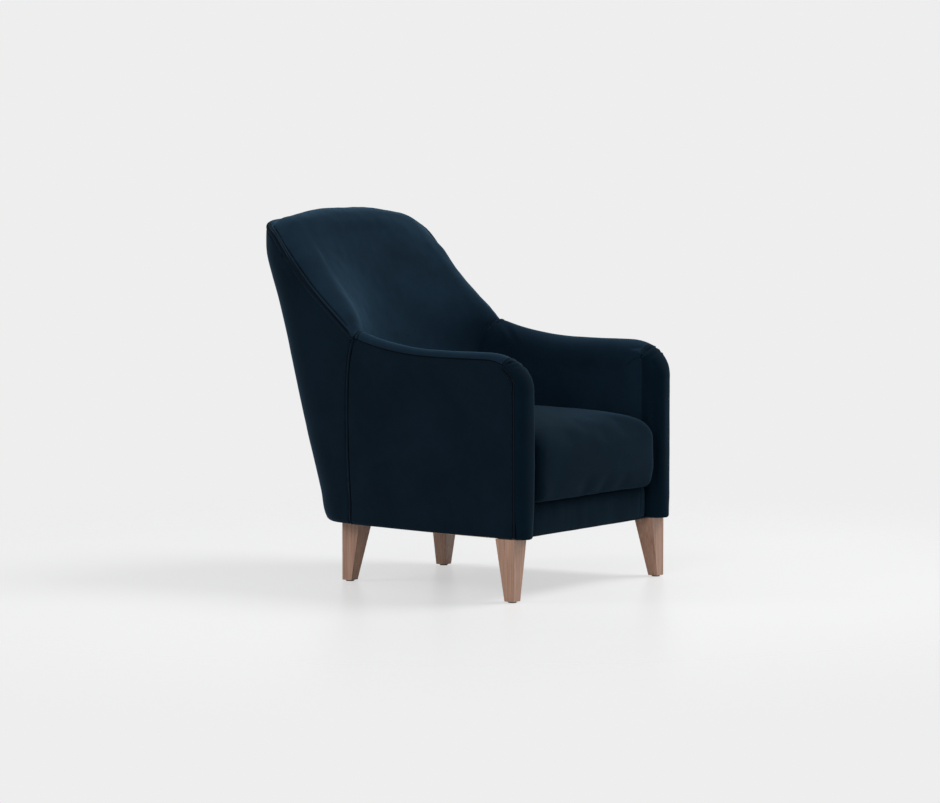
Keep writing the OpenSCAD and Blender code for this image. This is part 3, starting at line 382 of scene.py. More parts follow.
def back_column(q):
    top = rim_z(q) - FIT
    out = []
    for z in ([LEG_H + h for h in (0, 3, 8, 16)]
              + [lerp(LEG_H + HEM_R, top, k/12) for k in range(1, 13)]):
        p = back_outline(q, z, rim_inset(q)*ease(9*(z - LEG_H)/(top - LEG_H) - 8))
        out.append(vec(p[0], p[1] + (FIT if q == 0 else 0), z))
    return out


def outside_back_grid():
    half = np.array([back_column(q) for q in [0] + WING_Q[1:] + CREST_Q + [
        0.59, 0.62, 0.65, 0.68, 0.71, 0.74, 0.8, 0.87, 0.935, 1]])
    return squarer(np.concatenate([half, half[-2::-1]*[-1, 1, 1]]).swapaxes(0, 1))


# Dense surfaces drawn through coarse grids of points

def lengths(line):
    return np.concatenate([[0], np.cumsum(np.linalg.norm(np.diff(line, axis=0), axis=-1))])


def shares(line):
    t = lengths(line)
    return t/t[-1]


def stacked(*parts):
    return np.concatenate([np.reshape(k, (-1, 3)) for k in parts])


def knots(g):
    return np.concatenate([[0], np.cumsum(np.linalg.norm(np.diff(g, axis=0), axis=2).mean(1))])


def drawn(g, at):
    """The grid's rows at the given shares of its length, on a smooth curve through the rows."""
    t = knots(g)
    at = np.asarray(at)*t[-1]
    h = np.diff(t)[:, None, None]
    slope = np.diff(g, axis=0)/h
    m = np.empty_like(g)
    m[1:-1] = (h[1:]*slope[:-1] + h[:-1]*slope[1:])/(h[1:] + h[:-1])
    m[0] = 1.5*slope[0] - 0.5*m[1]
    m[-1] = 1.5*slope[-1] - 0.5*m[-2]
    k = np.clip(np.searchsorted(t, at, side="right") - 1, 0, len(t) - 2)
    hk = h[k]
    w = (at - t[k])[:, None, None]/hk
    return ((1 + 2*w)*(1 - w)**2*g[k] + w*(1 - w)**2*hk*m[k]
            + w*w*(3 - 2*w)*g[k + 1] + w*w*(w - 1)*hk*m[k + 1])


def stops(length, first, last, step):
    """Shares of a length: steps that are close together near an end with a seam."""
    edge = np.arange(0, 14, 1.1)
    a = edge if first else np.zeros(1)
    b = length - (edge if last else np.zeros(1))[::-1]
    n = max(int(round((b[0] - a[-1])/step)), 1)
    return np.concatenate([a, np.linspace(a[-1], b[0], n + 1)[1:-1], b])/length


def refined(g, fine, step=5.0):
    """A dense grid through a coarse one. fine says which of its four borders have a seam."""
    g = np.asarray(g, float)
    rows = drawn(g, stops(knots(g)[-1], fine[0], fine[1], step))
    cols = rows.swapaxes(0, 1)
    return drawn(cols, stops(knots(cols)[-1], fine[2], fine[3], step)).swapaxes(0, 1)


def on_line(line, at):
    t = lengths(line)
    return np.stack([np.interp(at, t, line[:, k]) for k in range(line.shape[1])], -1)


def even(line, count=None):
    """The same line with points at an even distance, 0.8 mm if no count is given."""
    line = np.asarray(line, float)
    end = lengths(line)[-1]
    return on_line(line, np.linspace(0, end, count or max(int(end/0.8), 2) + 1))


def beside(p, line):
    """Distance of each point to a line, and the share of the line's length where it is nearest."""
    line = even(line)
    n = len(line)
    tree = kdtree.KDTree(n)
    for i, q in enumerate(line):
        tree.insert(q, i)
    tree.balance()
    i = np.array([tree.find(q)[1] for q in p.reshape(-1, 3)]).reshape(p.shape[:-1])

    def to_part(a, b):
        ab = b - a
        t = np.clip(((p - a)*ab).sum(-1)/np.maximum((ab*ab).sum(-1), 1e-9), 0, 1)
        return np.linalg.norm(p - a - t[..., None]*ab, axis=-1)
    before, after = line[np.maximum(i - 1, 0)], line[np.minimum(i + 1, n - 1)]
    return np.minimum(to_part(before, line[i]), to_part(line[i], after)), i/(n - 1)


def grid_normals(g):
    n = np.cross(np.gradient(g, axis=0), np.gradient(g, axis=1))
    return n/np.maximum(np.linalg.norm(n, axis=2, keepdims=True), 1e-9)


def steady(n):
    """Normals, with those put right that point the wrong way in a tight corner's small folds."""
    wide = n
    for _ in range(20):
        wide = np.pad(wide, ((1, 1), (1, 1), (0, 0)), mode="edge")
        wide = wide[:-2, 1:-1] + wide[2:, 1:-1] + wide[1:-1, :-2] + wide[1:-1, 2:]
        wide = wide/np.maximum(np.linalg.norm(wide, axis=2, keepdims=True), 1e-9)
    return np.where((n*wide).sum(-1, keepdims=True) < 0.35, wide, n)


def ripple(p, scale, seed, waves=10):
    """Smooth seeded unevenness, mostly between -1 and 1, its waves about scale millimetres long."""
    rng = np.random.default_rng(seed)
    k = rng.normal(size=(waves, 3))
    k *= (2*math.pi/scale*rng.uniform(0.6, 1.5, waves)/np.linalg.norm(k, axis=1))[:, None]
    return np.sin(p @ k.T + rng.uniform(0, 2*math.pi, waves)).sum(-1)/math.sqrt(waves*2)


def crease(p, line, width, depth):
    """A fold along a line that fades out at both its ends."""
    d, at = beside(p, line)
    fade = np.sin(np.pi*np.clip(at, 0, 1))**0.7
    return fade*depth*(0.5*np.exp(-((d - 2.1*width)/(1.1*width))**2) - np.exp(-(d/width)**2))


# How far in from its edge a cover starts to turn down, and how deep it goes, in millimetres
EDGES = {"seam": (3.4, 4.2), "under": (8, 4.5), "soft": (10, 2.8), "free": (3, 1.5),
         "flush": (10, 3.5), "tuck": (7, 3)}
REACH, FLUSH_REACH = 1.2, 3         # how far two covers run into each other at their seam
STITCH, STITCH_PITCH = 8.4, 5.2     # from a seam to the stitches beside it, and between stitches
# the dark strips along seams and stitches are painted shade in their grooves
SEAM_SHADE, STITCH_SHADE = 2.6, 1.7     # half widths of the dark strips along seam and stitches


def sewn(edge, kind="seam", stitched=False, lo=0, hi=1):
    """An edge's share lo to hi: how it turns down, and whether stitches run beside it."""
    return edge, kind, stitched, lo, hi


def border(p, k):
    """One edge of a grid (first or last row, first or last column) and the line beside it."""
    return [(p[0], p[1]), (p[-1], p[-2]), (p[:, 0], p[:, 1]), (p[:, -1], p[:, -2])][k]


def edge_part(p, k, lo, hi):
    a, b = border(p, k)
    keep = (shares(a) >= lo) & (shares(a) <= hi)
    return a[keep], b[keep]


def closed_up(p, seams):
    """The grid with its seams' edges drawn a little further out."""
    p = p.copy()
    for k, kind in dict.fromkeys(s[:2] for s in seams if s[1] in ("seam", "flush")):
        a, b = border(p, k)
        reach = REACH if kind == "seam" else FLUSH_REACH
        a += reach*(a - b)/np.linalg.norm(a - b, axis=1, keepdims=True)
    return p


def put(thing, **settings):
    for key, value in settings.items():
        setattr(thing, key, value)
    return thing


def placed(name, data):
    o = bpy.data.objects.new(name, data)
    scene.collection.objects.link(o)
    return o


def painted(data, material):
    data.materials.clear()
    data.materials.append(material)


def shown(o):
    """The object as its modifiers leave it."""
    return o.evaluated_get(bpy.context.evaluated_depsgraph_get())


def stand(name, mesh, body="chair"):
    mesh.shade_smooth()
    o = placed(name, mesh)
    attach(o, body)
    return o


def make_object(name, verts, faces, material, body="chair"):
    """An object from points in millimetres."""
    mesh = bpy.data.meshes.new(name)
    faces = faces.tolist() if hasattr(faces, "tolist") else faces
    mesh.from_pydata((np.asarray(verts)/1000).tolist(), [], faces)
    mesh.update()
    mesh.materials.append(material)
    return stand(name, mesh, body)


def shell_faces(m, n):
    i, j = np.meshgrid(np.arange(m - 1), np.arange(n - 1), indexing="ij")
    a = (i*n + j).ravel()
    top = np.stack([a, a + n, a + n + 1, a + 1], 1)
    ring = np.concatenate([n*np.arange(m), (m - 1)*n + np.arange(1, n),
                           n*np.arange(m - 2, -1, -1) + n - 1, np.arange(n - 2, -1, -1)])
    a, b = ring[:-1], ring[1:]
    return np.concatenate([top, top[:, ::-1] + m*n, np.stack([b, a, a + m*n, b + m*n], 1)])


def tube_faces(m, n):
    """The faces round a tube of m rings with n points each."""
    i, j = np.meshgrid(np.arange(m - 1), np.arange(n), indexing="ij")
    a, b = (i*n + j).ravel(), (i*n + (j + 1) % n).ravel()
    return np.stack([a, b, b + n, a + n], 1)


def stitch_mesh(rows, verts, faces):
    """Thread lying on a cover along lines of (point, direction)."""
    tree = BVHTree.FromPolygons(verts.tolist(), faces.tolist())
    ring = [(math.cos(a), math.sin(a)) for a in np.linspace(0, 2*math.pi, 7)[:-1]]
    profile = [(-1.6, 0.16), (-1.15, 0.42), (0, 0.5), (1.15, 0.42), (1.6, 0.16)]
    out, around = [], []
    for q, d in rows:
        hit, n, _, far = tree.find_nearest(Vector(q))
        if far > 5:
            continue
        n = np.array(n)
        d = d - n*(d @ n)
        d /= np.linalg.norm(d)
        w = np.cross(n, d)
        base = len(out)
        for s, r in profile:
            out += [np.array(hit) + n*0.12 + s*d + r*(x*w + z*n) for x, z in ring]
        around += (tube_faces(len(profile), 6) + base).tolist()
        around += [tuple(range(base + 5, base - 1, -1)), tuple(range(base + 24, base + 30))]
    return np.array(out), around


def seam_relief(p, seams, h):
    """The relief h with its seams, the cells where shade is painted in them, and its stitches'
    places.
    """
    turns, rows, painted_shade = [], [], np.zeros(p.shape[:2], bool)
    for edge, kind, stitched, lo, hi in seams:
        a, b = edge_part(p, edge, lo, hi)
        d, at = beside(p, a)
        turn, depth = EDGES[kind]
        x = np.clip(d/turn, 0, 1)
        fade = ease((1 - at)/0.35) if hi < 1 and not stitched else 1
        turns.append(-depth*fade*(1 - np.sqrt(np.maximum(1 - (1 - x)**2, 0))))
        if kind == "seam":
            # the seam's groove gets a strip of painted shade
            painted_shade |= (d < SEAM_SHADE)*(fade > 0.3)
        if stitched:
            on = ((at > 0.003) | (lo == 0)) & ((at < 0.997) | (hi == 1))
            h = h + on*(0.9*np.exp(-((d - 5)/2.1)**2)
                        - 2.4*np.exp(-((d - STITCH - REACH)/1.6)**2))
            # so does the groove under the stitches: painted shade
            painted_shade |= on & (abs(d - STITCH - REACH) < STITCH_SHADE)
            count = int(lengths(a)[-1]/STITCH_PITCH)
            a, b = even(a, count=count), even(b, count=count)
            t = np.gradient(a, axis=0)
            t /= np.linalg.norm(t, axis=1, keepdims=True)
            w = b - a
            w -= t*(w*t).sum(1, keepdims=True)
            w /= np.linalg.norm(w, axis=1, keepdims=True)
            ends = slice(2 if lo == 0 else 0, -2 if hi == 1 else None)
            rows += list(zip((a + (STITCH + REACH)*w)[ends], t[ends]))
    return h + np.minimum.reduce(turns), painted_shade, rows


def cover(name, p, material, seams, turned=False, thick=(6, 6), uneven=0.4, seed=1, extra=None,
          calm=None, sides=("",)):
    """A closed sheet of upholstery on a dense grid, without relief round the point calm."""
    p = closed_up(p, seams)
    n = (-1 if turned else 1)*steady(grid_normals(p))
    h = uneven*(ripple(p, 130, seed) + 0.35*ripple(p, 45, seed + 9))
    h, painted_shade, rows = seam_relief(p, seams, h)
    if calm is not None:
        away = (np.linalg.norm(p - calm, axis=-1) - 3)/9
        h, painted_shade = h*ease(away), painted_shade & (away > 0.1)
    if extra is not None:
        h = h + extra(p)
    u, v = lengths(p[:, p.shape[1]//2]), lengths(p[p.shape[0]//2])
    near = np.minimum(np.minimum(u, u[-1] - u)[:, None], np.minimum(v, v[-1] - v)[None, :])
    t = lerp(thick[0], thick[1], np.clip(near/60, 0, 1)**0.7)
    verts = stacked(p + n*h[..., None], p - n*t[..., None])
    faces = shell_faces(*p.shape[:2])
    if turned:
        faces = faces[:, ::-1]
    thread = stitch_mesh(rows, verts, faces) if rows else None
    made = []
    for side in sides:
        left = side == "_left"
        flip = vec(-1, 1, 1) if left else vec(1, 1, 1)
        f = faces[:, ::-1] if left else faces
        o = make_object(name + side + "_cover", verts*flip, f, material)
        # faces in the grooves take a much darker copy of the velvet: painted shade
        if painted_shade.any():
            o.data.materials.append(painted_seam_shade_look)
            dark = (painted_shade[:-1, :-1] & painted_shade[1:, 1:]).ravel()
            o.data.polygons.foreach_set("material_index", np.append(
                dark, np.zeros(len(faces) - dark.size)).astype(np.int32))
        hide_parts(name + side)
        if thread:
            f = [x[::-1] for x in thread[1]] if left else thread[1]
            make_object(name + side + "_stitches", thread[0]*flip, f, thread_look)
        made.append(o)
    return made


# Materials

def node(tree, kind, inputs=(), **settings):
    """A shader node. Each input takes a value, or a link from another node's output."""
    n = put(tree.nodes.new("ShaderNode" + kind), **settings)
    for key, value in dict(inputs).items():
        if isinstance(value, bpy.types.NodeSocket):
            tree.links.new(value, n.inputs[key])
        else:
            n.inputs[key].default_value = value
    return n


def look(name, roughness, **values):
    m = bpy.data.materials.new(name)
    m.use_nodes = True
    m.node_tree.nodes.clear()
    inputs = {key.replace("_", " "): value for key, value in values.items()}
    shader = node(m.node_tree, "BsdfPrincipled", {"Roughness": roughness, **inputs})
    node(m.node_tree, "OutputMaterial", {0: shader.outputs[0]})
    return m, m.node_tree, shader


def place(tree, stretch=(1, 1, 1)):
    at = node(tree, "TexCoord").outputs["Object"]
    return node(tree, "Mapping", {"Vector": at, "Scale": stretch}).outputs[0]


def noise(tree, at, scale, detail=2.0, rough=0.5, distortion=0.0):
    return node(tree, "TexNoise", {
        "Vector": at, "Scale": scale, "Detail": detail, "Roughness": rough,
        "Distortion": distortion}).outputs[0]


def ramp(tree, value, steps):
    r = node(tree, "ValToRGB", {0: value})
    e = r.color_ramp.elements
    while len(e) < len(steps):
        e.new(0.5)
    for k, (at, colour) in enumerate(steps):
        e[k].position = at
        e[k].color = (*colour, 1)
    return r.outputs[0]


def blend(tree, a, b, share, kind="MIX"):
    return node(tree, "Mix", {0: share, 6: a, 7: b}, data_type="RGBA", blend_type=kind).outputs[2]


def bump(tree, shader, height, strength, distance, before=None):
    b = node(tree, "Bump", {"Strength": strength, "Distance": distance, "Height": height})
    if before:
        tree.links.new(before, b.inputs["Normal"])
    tree.links.new(b.outputs[0], shader.inputs["Normal"])
    return b.outputs[0]


def velvet(name, dark, light, sheen=0.22):
    m, tree, shader = look(name, 0.92, Sheen_Weight=sheen, Sheen_Roughness=0.4,
                           Sheen_Tint=(0.17, 0.4, 0.62, 1), Specular_IOR_Level=0.055)
    at = place(tree)
    clouds = ramp(tree, noise(tree, at, 7.0, 4, 0.62, 0.3), [(0.3, dark), (0.7, light)])
    nap = ramp(tree, noise(tree, at, 70.0, 3, 0.7, 0.6),
               [(0.25, (0.78, 0.8, 0.82)), (0.75, (1, 1, 1))])
    tree.links.new(blend(tree, clouds, nap, 0.8, "MULTIPLY"), shader.inputs["Base Color"])
    soft = bump(tree, shader, noise(tree, at, 120.0, 3, 0.65, 0.4), 0.16, 0.0012)
    bump(tree, shader, noise(tree, at, 1500.0, 1, 0.5), 0.3, 0.0004, soft)
    return m


def wood(name, dark, mid, light, roughness, coat=0.0):
    m, tree, shader = look(name, roughness, Specular_IOR_Level=0.4,
                           Coat_Weight=coat, Coat_Roughness=0.3)
    grain = ramp(tree, noise(tree, place(tree, (90, 90, 2.2)), 1.6, 5, 0.6, 1.1),
                 [(0.25, dark), (0.5, mid), (0.78, light)])
    pores = noise(tree, place(tree, (700, 700, 16)), 1.0, 2, 0.6)
    spots = ramp(tree, pores, [(0.36, (0.62, 0.58, 0.55)), (0.48, (1, 1, 1))])
    tree.links.new(blend(tree, grain, spots, 0.6, "MULTIPLY"), shader.inputs["Base Color"])
    bump(tree, shader, pores, 0.12, 0.0003)
    return m


def cloth(name, dark, light, weave=900.0):
    m, tree, shader = look(name, 0.85, Sheen_Weight=0.2, Specular_IOR_Level=0.2)
    at = place(tree)
    tone = ramp(tree, noise(tree, at, 30.0, 3, 0.6), [(0.3, dark), (0.7, light)])
    waves = [node(tree, "TexWave", {"Scale": weave/6.3, "Distortion": 0.3, "Vector": at},
                  bands_direction=direction).outputs[0] for direction in ("X", "Y")]
    tree.links.new(tone, shader.inputs["Base Color"])
    bump(tree, shader, blend(tree, waves[0], waves[1], 0.5), 0.4, 0.0004)
    return m


def plain(name, dark, light, scale, roughness, rise=0.15, metal=0.0, **values):
    m, tree, shader = look(name, roughness, Metallic=metal, **values)
    at = place(tree)
    tone = noise(tree, at, scale, 3, 0.6)
    tree.links.new(ramp(tree, tone, [(0.3, dark), (0.7, light)]), shader.inputs["Base Color"])
    bump(tree, shader, noise(tree, at, scale*4, 2, 0.6), rise, 0.0005)
    return m


# One navy velvet in lit and shaded copies: the first, lighter, is painted light on the arm pads and
# inside back; the next two, darker, are painted shade on the outside panels and back, and on the
# seat, border and rolls.
lit_velvet_look = velvet("velvet_navy", (0.0028, 0.0096, 0.0182), (0.0049, 0.015, 0.0274))
outer_shaded_look = velvet("velvet_navy_outside_shaded", (0.0013, 0.005, 0.0099), (0.0022, 0.0078, 0.0147), 0.16)
seat_shaded_look = velvet("velvet_navy_seat_shaded", (0.0007, 0.0049, 0.0097), (0.0012, 0.0076, 0.0146), 0.1)
# much darker still: painted shade for the faces in seam and stitch grooves
painted_seam_shade_look = velvet("velvet_navy_painted_seam_shade", (0.0006, 0.0014, 0.0026), (0.0009, 0.002, 0.0036), 0.02)
thread_look = plain("velvet_thread", (0.0025, 0.006, 0.011), (0.004, 0.009, 0.016), 400, 0.7,
                    Specular_IOR_Level=0.2)
walnut_look = wood("walnut", (0.21, 0.112, 0.075), (0.31, 0.178, 0.122), (0.41, 0.25, 0.178),
                   0.42, 0.15)
timber_look = wood("beech", (0.46, 0.32, 0.19), (0.56, 0.41, 0.26), (0.64, 0.49, 0.33), 0.6)
steel_look = plain("steel", (0.42, 0.42, 0.43), (0.56, 0.56, 0.57), 90, 0.34, 0.05, 1.0)
cambric_look = cloth("dust_cloth", (0.012, 0.012, 0.013), (0.02, 0.02, 0.021))
elastic_look = cloth("elastic_webbing", (0.02, 0.02, 0.021), (0.045, 0.045, 0.047), 1600)
felt_look = plain("felt", (0.035, 0.037, 0.04), (0.075, 0.078, 0.082), 260, 0.95, 0.5,
                  Sheen_Weight=0.3)
foam_look = plain("foam", (0.62, 0.55, 0.34), (0.72, 0.65, 0.43), 320, 0.9, 0.5)
glide_look = plain("glide_nylon", (0.02, 0.018, 0.016), (0.035, 0.032, 0.03), 150, 0.45)
tape_look = cloth("zip_tape", (0.01, 0.016, 0.024), (0.016, 0.025, 0.036), 1800)


# Arm rolls, from the foot up the front and round the bend to the cross seam

ROLL_S = [0, 0.05, 0.15, 0.3, 0.45, 0.62, 0.8, 0.94, 1.05, 1.14, 1.21, 1.28, 1.35, 1.41, 1.48,
          1.54, 1.61, CROSS_S]
ARM_S = [CROSS_S, 1.72, 1.78, 1.84, 1.89, 1.95, 2, 2.06, 2.12, 2.18, 2.25, 2.31, 2.38, 2.44, 2.5,
         2.56, 2.62, 2.68, 2.73, 2.78, 2.83, 2.88, 2.92, 2.96, 3]
SIDES = ("_right", "_left")


def roll_folds(p):
    """Short pleats below the cross seam, outside and inside, and the valley down the inner side."""
    h = crease(p, [roll_point(s, 8) for s in np.linspace(0.05, 1.5, 40)], 9, 6.5)
    for width, depth, line in (
            (2.2, 3.4, ((1.6, 0.8), (1.59, 1.7), (1.575, 2.6), (1.57, 3.4))),
            (2.4, 3.2, ((1.5, 1.5), (1.475, 2.4), (1.46, 3.3), (1.46, 4.2))),
            (3, 3, ((1.6, 4.6), (1.59, 5.6), (1.575, 6.6), (1.57, 7.4))),
            (4, 3, ((1.48, 5), (1.45, 6), (1.43, 7), (1.42, 8)))):
        h = h + crease(p, [roll_point(*k) for k in line], width, depth)
    return h


roll_points = refined([[roll_point(s, t) for t in range(14)] for s in ROLL_S], (1, 1, 1, 0), 4.0)
rolls = cover("arm_roll", roll_points, seat_shaded_look,
              [sewn(0, "under"), sewn(1, hi=0.75), sewn(2), sewn(3, "flush")],
              thick=(7, 12), uneven=0.5, seed=11, extra=roll_folds, sides=SIDES)


def arm_folds(p):
    """Two soft folds, and a dip where the pad meets the wing."""
    h = 0
    for line, width in ((((1.69, 6.4), (1.74, 7), (1.8, 7.4), (1.9, 7.7)), 4),
                        (((2.98, 5), (2.9, 6.6), (2.82, 8.4), (2.76, 10)), 6)):
        h = h + crease(p, [arm_point(*k) for k in line], width, 1.6)
    dip = np.exp(-np.maximum(junction_y - p[..., 1], 0)/14)
    inner = np.clip((p[..., 0] - crest_x + 22)/20, 0, 1)
    return h - 2*dip*inner*(p[..., 2] > ARM_H - 30)


arm_points = refined([[arm_point(s, t) for t in range(17)] for s in ARM_S], (1, 1, 1, 0), 4.5)
arm_pads = cover("arm_pad", arm_points, lit_velvet_look,
                 [sewn(0, hi=0.2), sewn(1, stitched=True, hi=0.13), sewn(1, "soft", lo=0.13),
                  sewn(2)], thick=(7, 12), uneven=0.6, seed=23, extra=arm_folds, sides=SIDES,
                 calm=vec(inside_x, split_y, roll_end_z))


# Outside panels: a grid with one corner in the middle of the bend, so that its
# lines stand square to the seam all the way round

def panel_points():
    y0 = seam_y + 3*FIT
    reach = BEND_LEN - FRONT_SEAM

    def top(y):
        return arm_seam_z(max(y, y0)) - 2*FIT
    y_end = back_seam_y(wing_z0) - FIT
    a0 = math.acos((bend_y - y0)/reach)
    bend = [(y, top(y)) for y in bend_y - reach*np.cos(np.linspace(a0, math.pi/2, 41))]
    front = [(y0, z) for z in np.linspace(LEG_H, bend[0][1], 60)] + bend[1:19]
    crest = bend[18:] + [(y, top(y)) for y in np.linspace(bend_y, y_end, 80)[1:]]
    low = [(y, LEG_H) for y in np.linspace(y0, back_seam_y(LEG_H) - FIT, 80)]
    rear = [(back_seam_y(z) - FIT, z) for z in np.linspace(LEG_H, crest[-1][1], 80)]
    rear[-1] = crest[-1]
    front, crest, low, rear = (np.array(k, float) for k in (front, crest, low, rear))
    us, vs = stops(lengths(crest)[-1], 1, 1, 4.5), stops(lengths(front)[-1], 1, 1, 4.5)
    b, t, l, r = (on_line(k, at*lengths(k)[-1]) for k, at in (
        (low, us), (crest, us), (front, vs), (rear, vs)))
    b, t, l, r = b[None], t[None], l[:, None], r[:, None]
    u, v = us[None, :, None], vs[:, None, None]
    yz = ((1 - v)*b + v*t + (1 - u)*l + u*r - ((1 - u)*(1 - v)*low[0] + u*(1 - v)*low[-1]
          + (1 - u)*v*crest[0] + u*v*crest[-1]))
    return np.array([[(side_x(y, max(z, LEG_H), 4*ease(8*(z - LEG_H)/(top(y) - LEG_H) - 7)), y, z)
                      for y, z in row] for row in yz])


panel = panel_points()
crest_edge = panel[-1]
stitched_to = float(np.interp(roll_point(CROSS_S, 0)[1], crest_edge[:, 1], shares(crest_edge)))


def panel_fall(p):
    """The panel draws in softly towards its seams in front and below the arm."""
    return (-3.5*np.exp(-beside(p, panel[:, 0])[0]/13)
            - 2*np.exp(-beside(p, panel[-1])[0]/16))


panels = cover("arm_outside", panel, outer_shaded_look,
               [sewn(0, "under"), sewn(2, stitched=True), sewn(1, stitched=True, hi=stitched_to),
                sewn(1, lo=stitched_to), sewn(3)],
               turned=True, thick=(7.5, 4), uneven=0.35, seed=31, extra=panel_fall, sides=SIDES)


# Back

def back_fill(p):
    """The cover swells a little over the back's upper corners."""
    return 8*ease((p[..., 2] - BACK_H + 330)/250)*ease((abs(p[..., 0]) - 150)/100)


back_points = refined(outside_back_grid(), (1, 1, 1, 1), 6.0)
outside_back, = cover("outside_back", back_points, outer_shaded_look,
                      [sewn(0, "under")] + [sewn(k, stitched=True) for k in (1, 2, 3)],
                      turned=True, thick=(7, 4), uneven=0.35, seed=41, extra=back_fill)

back_grid = inside_back_grid()
half_back = back_grid[:, 10:]


def back_place(i, c):
    """The inside back's surface between the points of its coarse grid."""
    r, j = min(int(i), len(half_back) - 2), min(int(c), half_back.shape[1] - 2)
    q = lerp(half_back[r], half_back[r + 1], i - r)
    return lerp(q[j], q[j + 1], c - j)


def back_folds(p):
    """Drag folds that run from each notch between arm and wing into the inside back."""
    h = 0
    for x in (1, -1):
        for a, b in (((10, 9.3), (7, 6.6)), ((11.3, 9.2), (13.5, 7.2))):
            line = [back_place(lerp(a[0], b[0], t), lerp(a[1], b[1], t))*vec(x, 1, 1)
                    for t in np.linspace(0, 1, 9)]
            h = h + crease(p, line, 7, 1.2)
    return h


def evened(p):
    """The grid smoothed away from its borders below the crest, so that the wing's ridge is soft."""
    rows, cols = (np.minimum(k, k[::-1]) for k in map(np.arange, p.shape[:2]))
    soft = np.clip((np.minimum(rows[:, None], cols[None, :]) - 4)/8, 0, 1)[1:-1, 1:-1, None]
    soft = soft*np.clip((800 - p[1:-1, 1:-1, 2:])/90, 0, 1)
    for _ in range(60):
        middle = (p[:-2, 1:-1] + p[2:, 1:-1] + p[1:-1, :-2] + p[1:-1, 2:])/4
        p[1:-1, 1:-1] += 0.5*soft*(middle - p[1:-1, 1:-1])
    return p


inner_points = evened(refined(back_grid, (0, 1, 1, 1), 5.0))
side_edge = inner_points[:, -1]
tucked_to, stitched_from = (float(np.interp(wing_z0 + k, side_edge[:, 2], shares(side_edge)))
                            for k in (4, 26))
wing_seams = [seam for k in (2, 3) for seam in (
    sewn(k, "tuck", hi=tucked_to), sewn(k, lo=tucked_to), sewn(k, stitched=True, lo=stitched_from))]
inside_back, = cover("inside_back", inner_points, lit_velvet_look, [sewn(1)] + wing_seams,
                     turned=True, thick=(6, 30), uneven=0.9, seed=53, extra=back_folds)


# Lofts through closed rings

def loft(name, rings, material, body="chair"):
    r = np.asarray(rings, float)
    m, n = r.shape[:2]
    faces = tube_faces(m, n).tolist() + [[m*n, (j + 1) % n, j] for j in range(n)]
    faces += [[m*n + 1, (m - 1)*n + j, (m - 1)*n + (j + 1) % n] for j in range(n)]
    return make_object(name, stacked(r, r[0].mean(0), r[-1].mean(0)), faces, material, body)


def round_box(hx, hy, r, count=200):
    """Outline of a rounded rectangle about the origin, counterclockwise, at even distances."""
    pts = []
    for k, (sx, sy) in enumerate(((1, 1), (-1, 1), (-1, -1), (1, -1))):
        for a in np.linspace(0, math.pi/2, 13) + k*math.pi/2:
            pts.append((sx*(hx - r) + r*math.cos(a), sy*(hy - r) + r*math.sin(a)))
    return even(pts + pts[:1], count=count + 1)[:-1]


def pillow_rings(rows, x, y0, y1, z0, rise, count=200, levels=60):
    """Rings (inset, corner radius, height) drawn out into a smooth pillow."""
    rows = drawn(np.array(rows, float)[:, None, :], np.linspace(0, 1, levels))[:, 0]
    y, hy = (y0 + y1)/2, (y1 - y0)/2
    return [np.column_stack([round_box(x - i, hy - i, min(r, x - i - 1), count) + [0, y],
                             np.full(count, z0 + rise*z)]) for i, r, z in rows]


# Front border, with faint upright ripples and a small fold at its right end

border_w = INNER_W/2 - 0.6


def border_ring(x):
    u = abs(x)/border_w
    depth = (split_y - border_y)*(0.35 + 0.65*math.sqrt(max(1 - u**8, 0)))
    top = LEG_H + BORDER_H - FIT
    out = [(x, split_y, LEG_H), (x, split_y - 6, LEG_H)]
    for a in np.linspace(-math.pi/2, math.pi/2, 44):
        c = max(math.cos(a), 0)
        h = 0.5 + 0.5*math.copysign(abs(math.sin(a))**0.62, math.sin(a))
        wave = 0.5*ripple(vec(x, 0, 40*h), 60, 61) + 0.12*ripple(vec(x*1.5, 0, 15*h), 25, 67)
        wave -= 1.6*math.exp(-((x - 225 - 8*h)/4)**2)*math.sin(math.pi*h)
        out.append((x, split_y - depth*(0.4 + 0.6*c**0.45) - wave*c**0.5*min(1, (1 - u)*12),
                    lerp(LEG_H, top, h)))
    return (out + [(x, split_y - 6, top), (x, split_y, top)])[::-1]


ends = np.sin(np.linspace(math.asin(0.91), math.pi/2, 14))
border_x = np.concatenate([-ends[::-1], np.linspace(-0.9, 0.9, 150), ends])*border_w
front_border = loft("front_border_cover", [border_ring(x) for x in border_x], seat_shaded_look)
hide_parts("front_border")


# Seat cushion

cushion_x = INNER_W/2 - CUSHION_GAP
cushion_y0 = -body_d/2
cushion_y1 = middle_y(deck_z) - hollow(deck_z) - 4
cushion_z0 = deck_z + FIT
CUSHION_ROWS = [(64, 50, 0), (24, 24, 0), (8, 22, 8), (2, 24, 34), (0, 26, 80), (1, 28, 118),
                (5, 32, 141), (13, 38, 157), (28, 48, 170), (52, 62, 180), (92, 84, 188),
                (150, 100, 195), (214, 52, 198)]
CORE_ROWS = [(30, 20, 0), (3, 12, 0.0), (0.4, 10, 0.03), (0, 10, 0.5), (0.6, 10, 0.95),
             (4, 14, 0.985), (40, 30, 1), (200, 20, 1)]
CLOTH = {"quality": 5, "mass": 0.35, "tension_stiffness": 40, "compression_stiffness": 40,
         "shear_stiffness": 20, "bending_stiffness": 30, "use_pressure": True,
         "uniform_pressure_force": 1.6}
SIM_FRAMES, SWELL_CAP = 20, 0.022       # no point of the cushion moves further than the cap


def coordinates(mesh):
    co = np.empty(len(mesh.vertices)*3)
    mesh.vertices.foreach_get("co", co)
    return co.reshape(-1, 3)


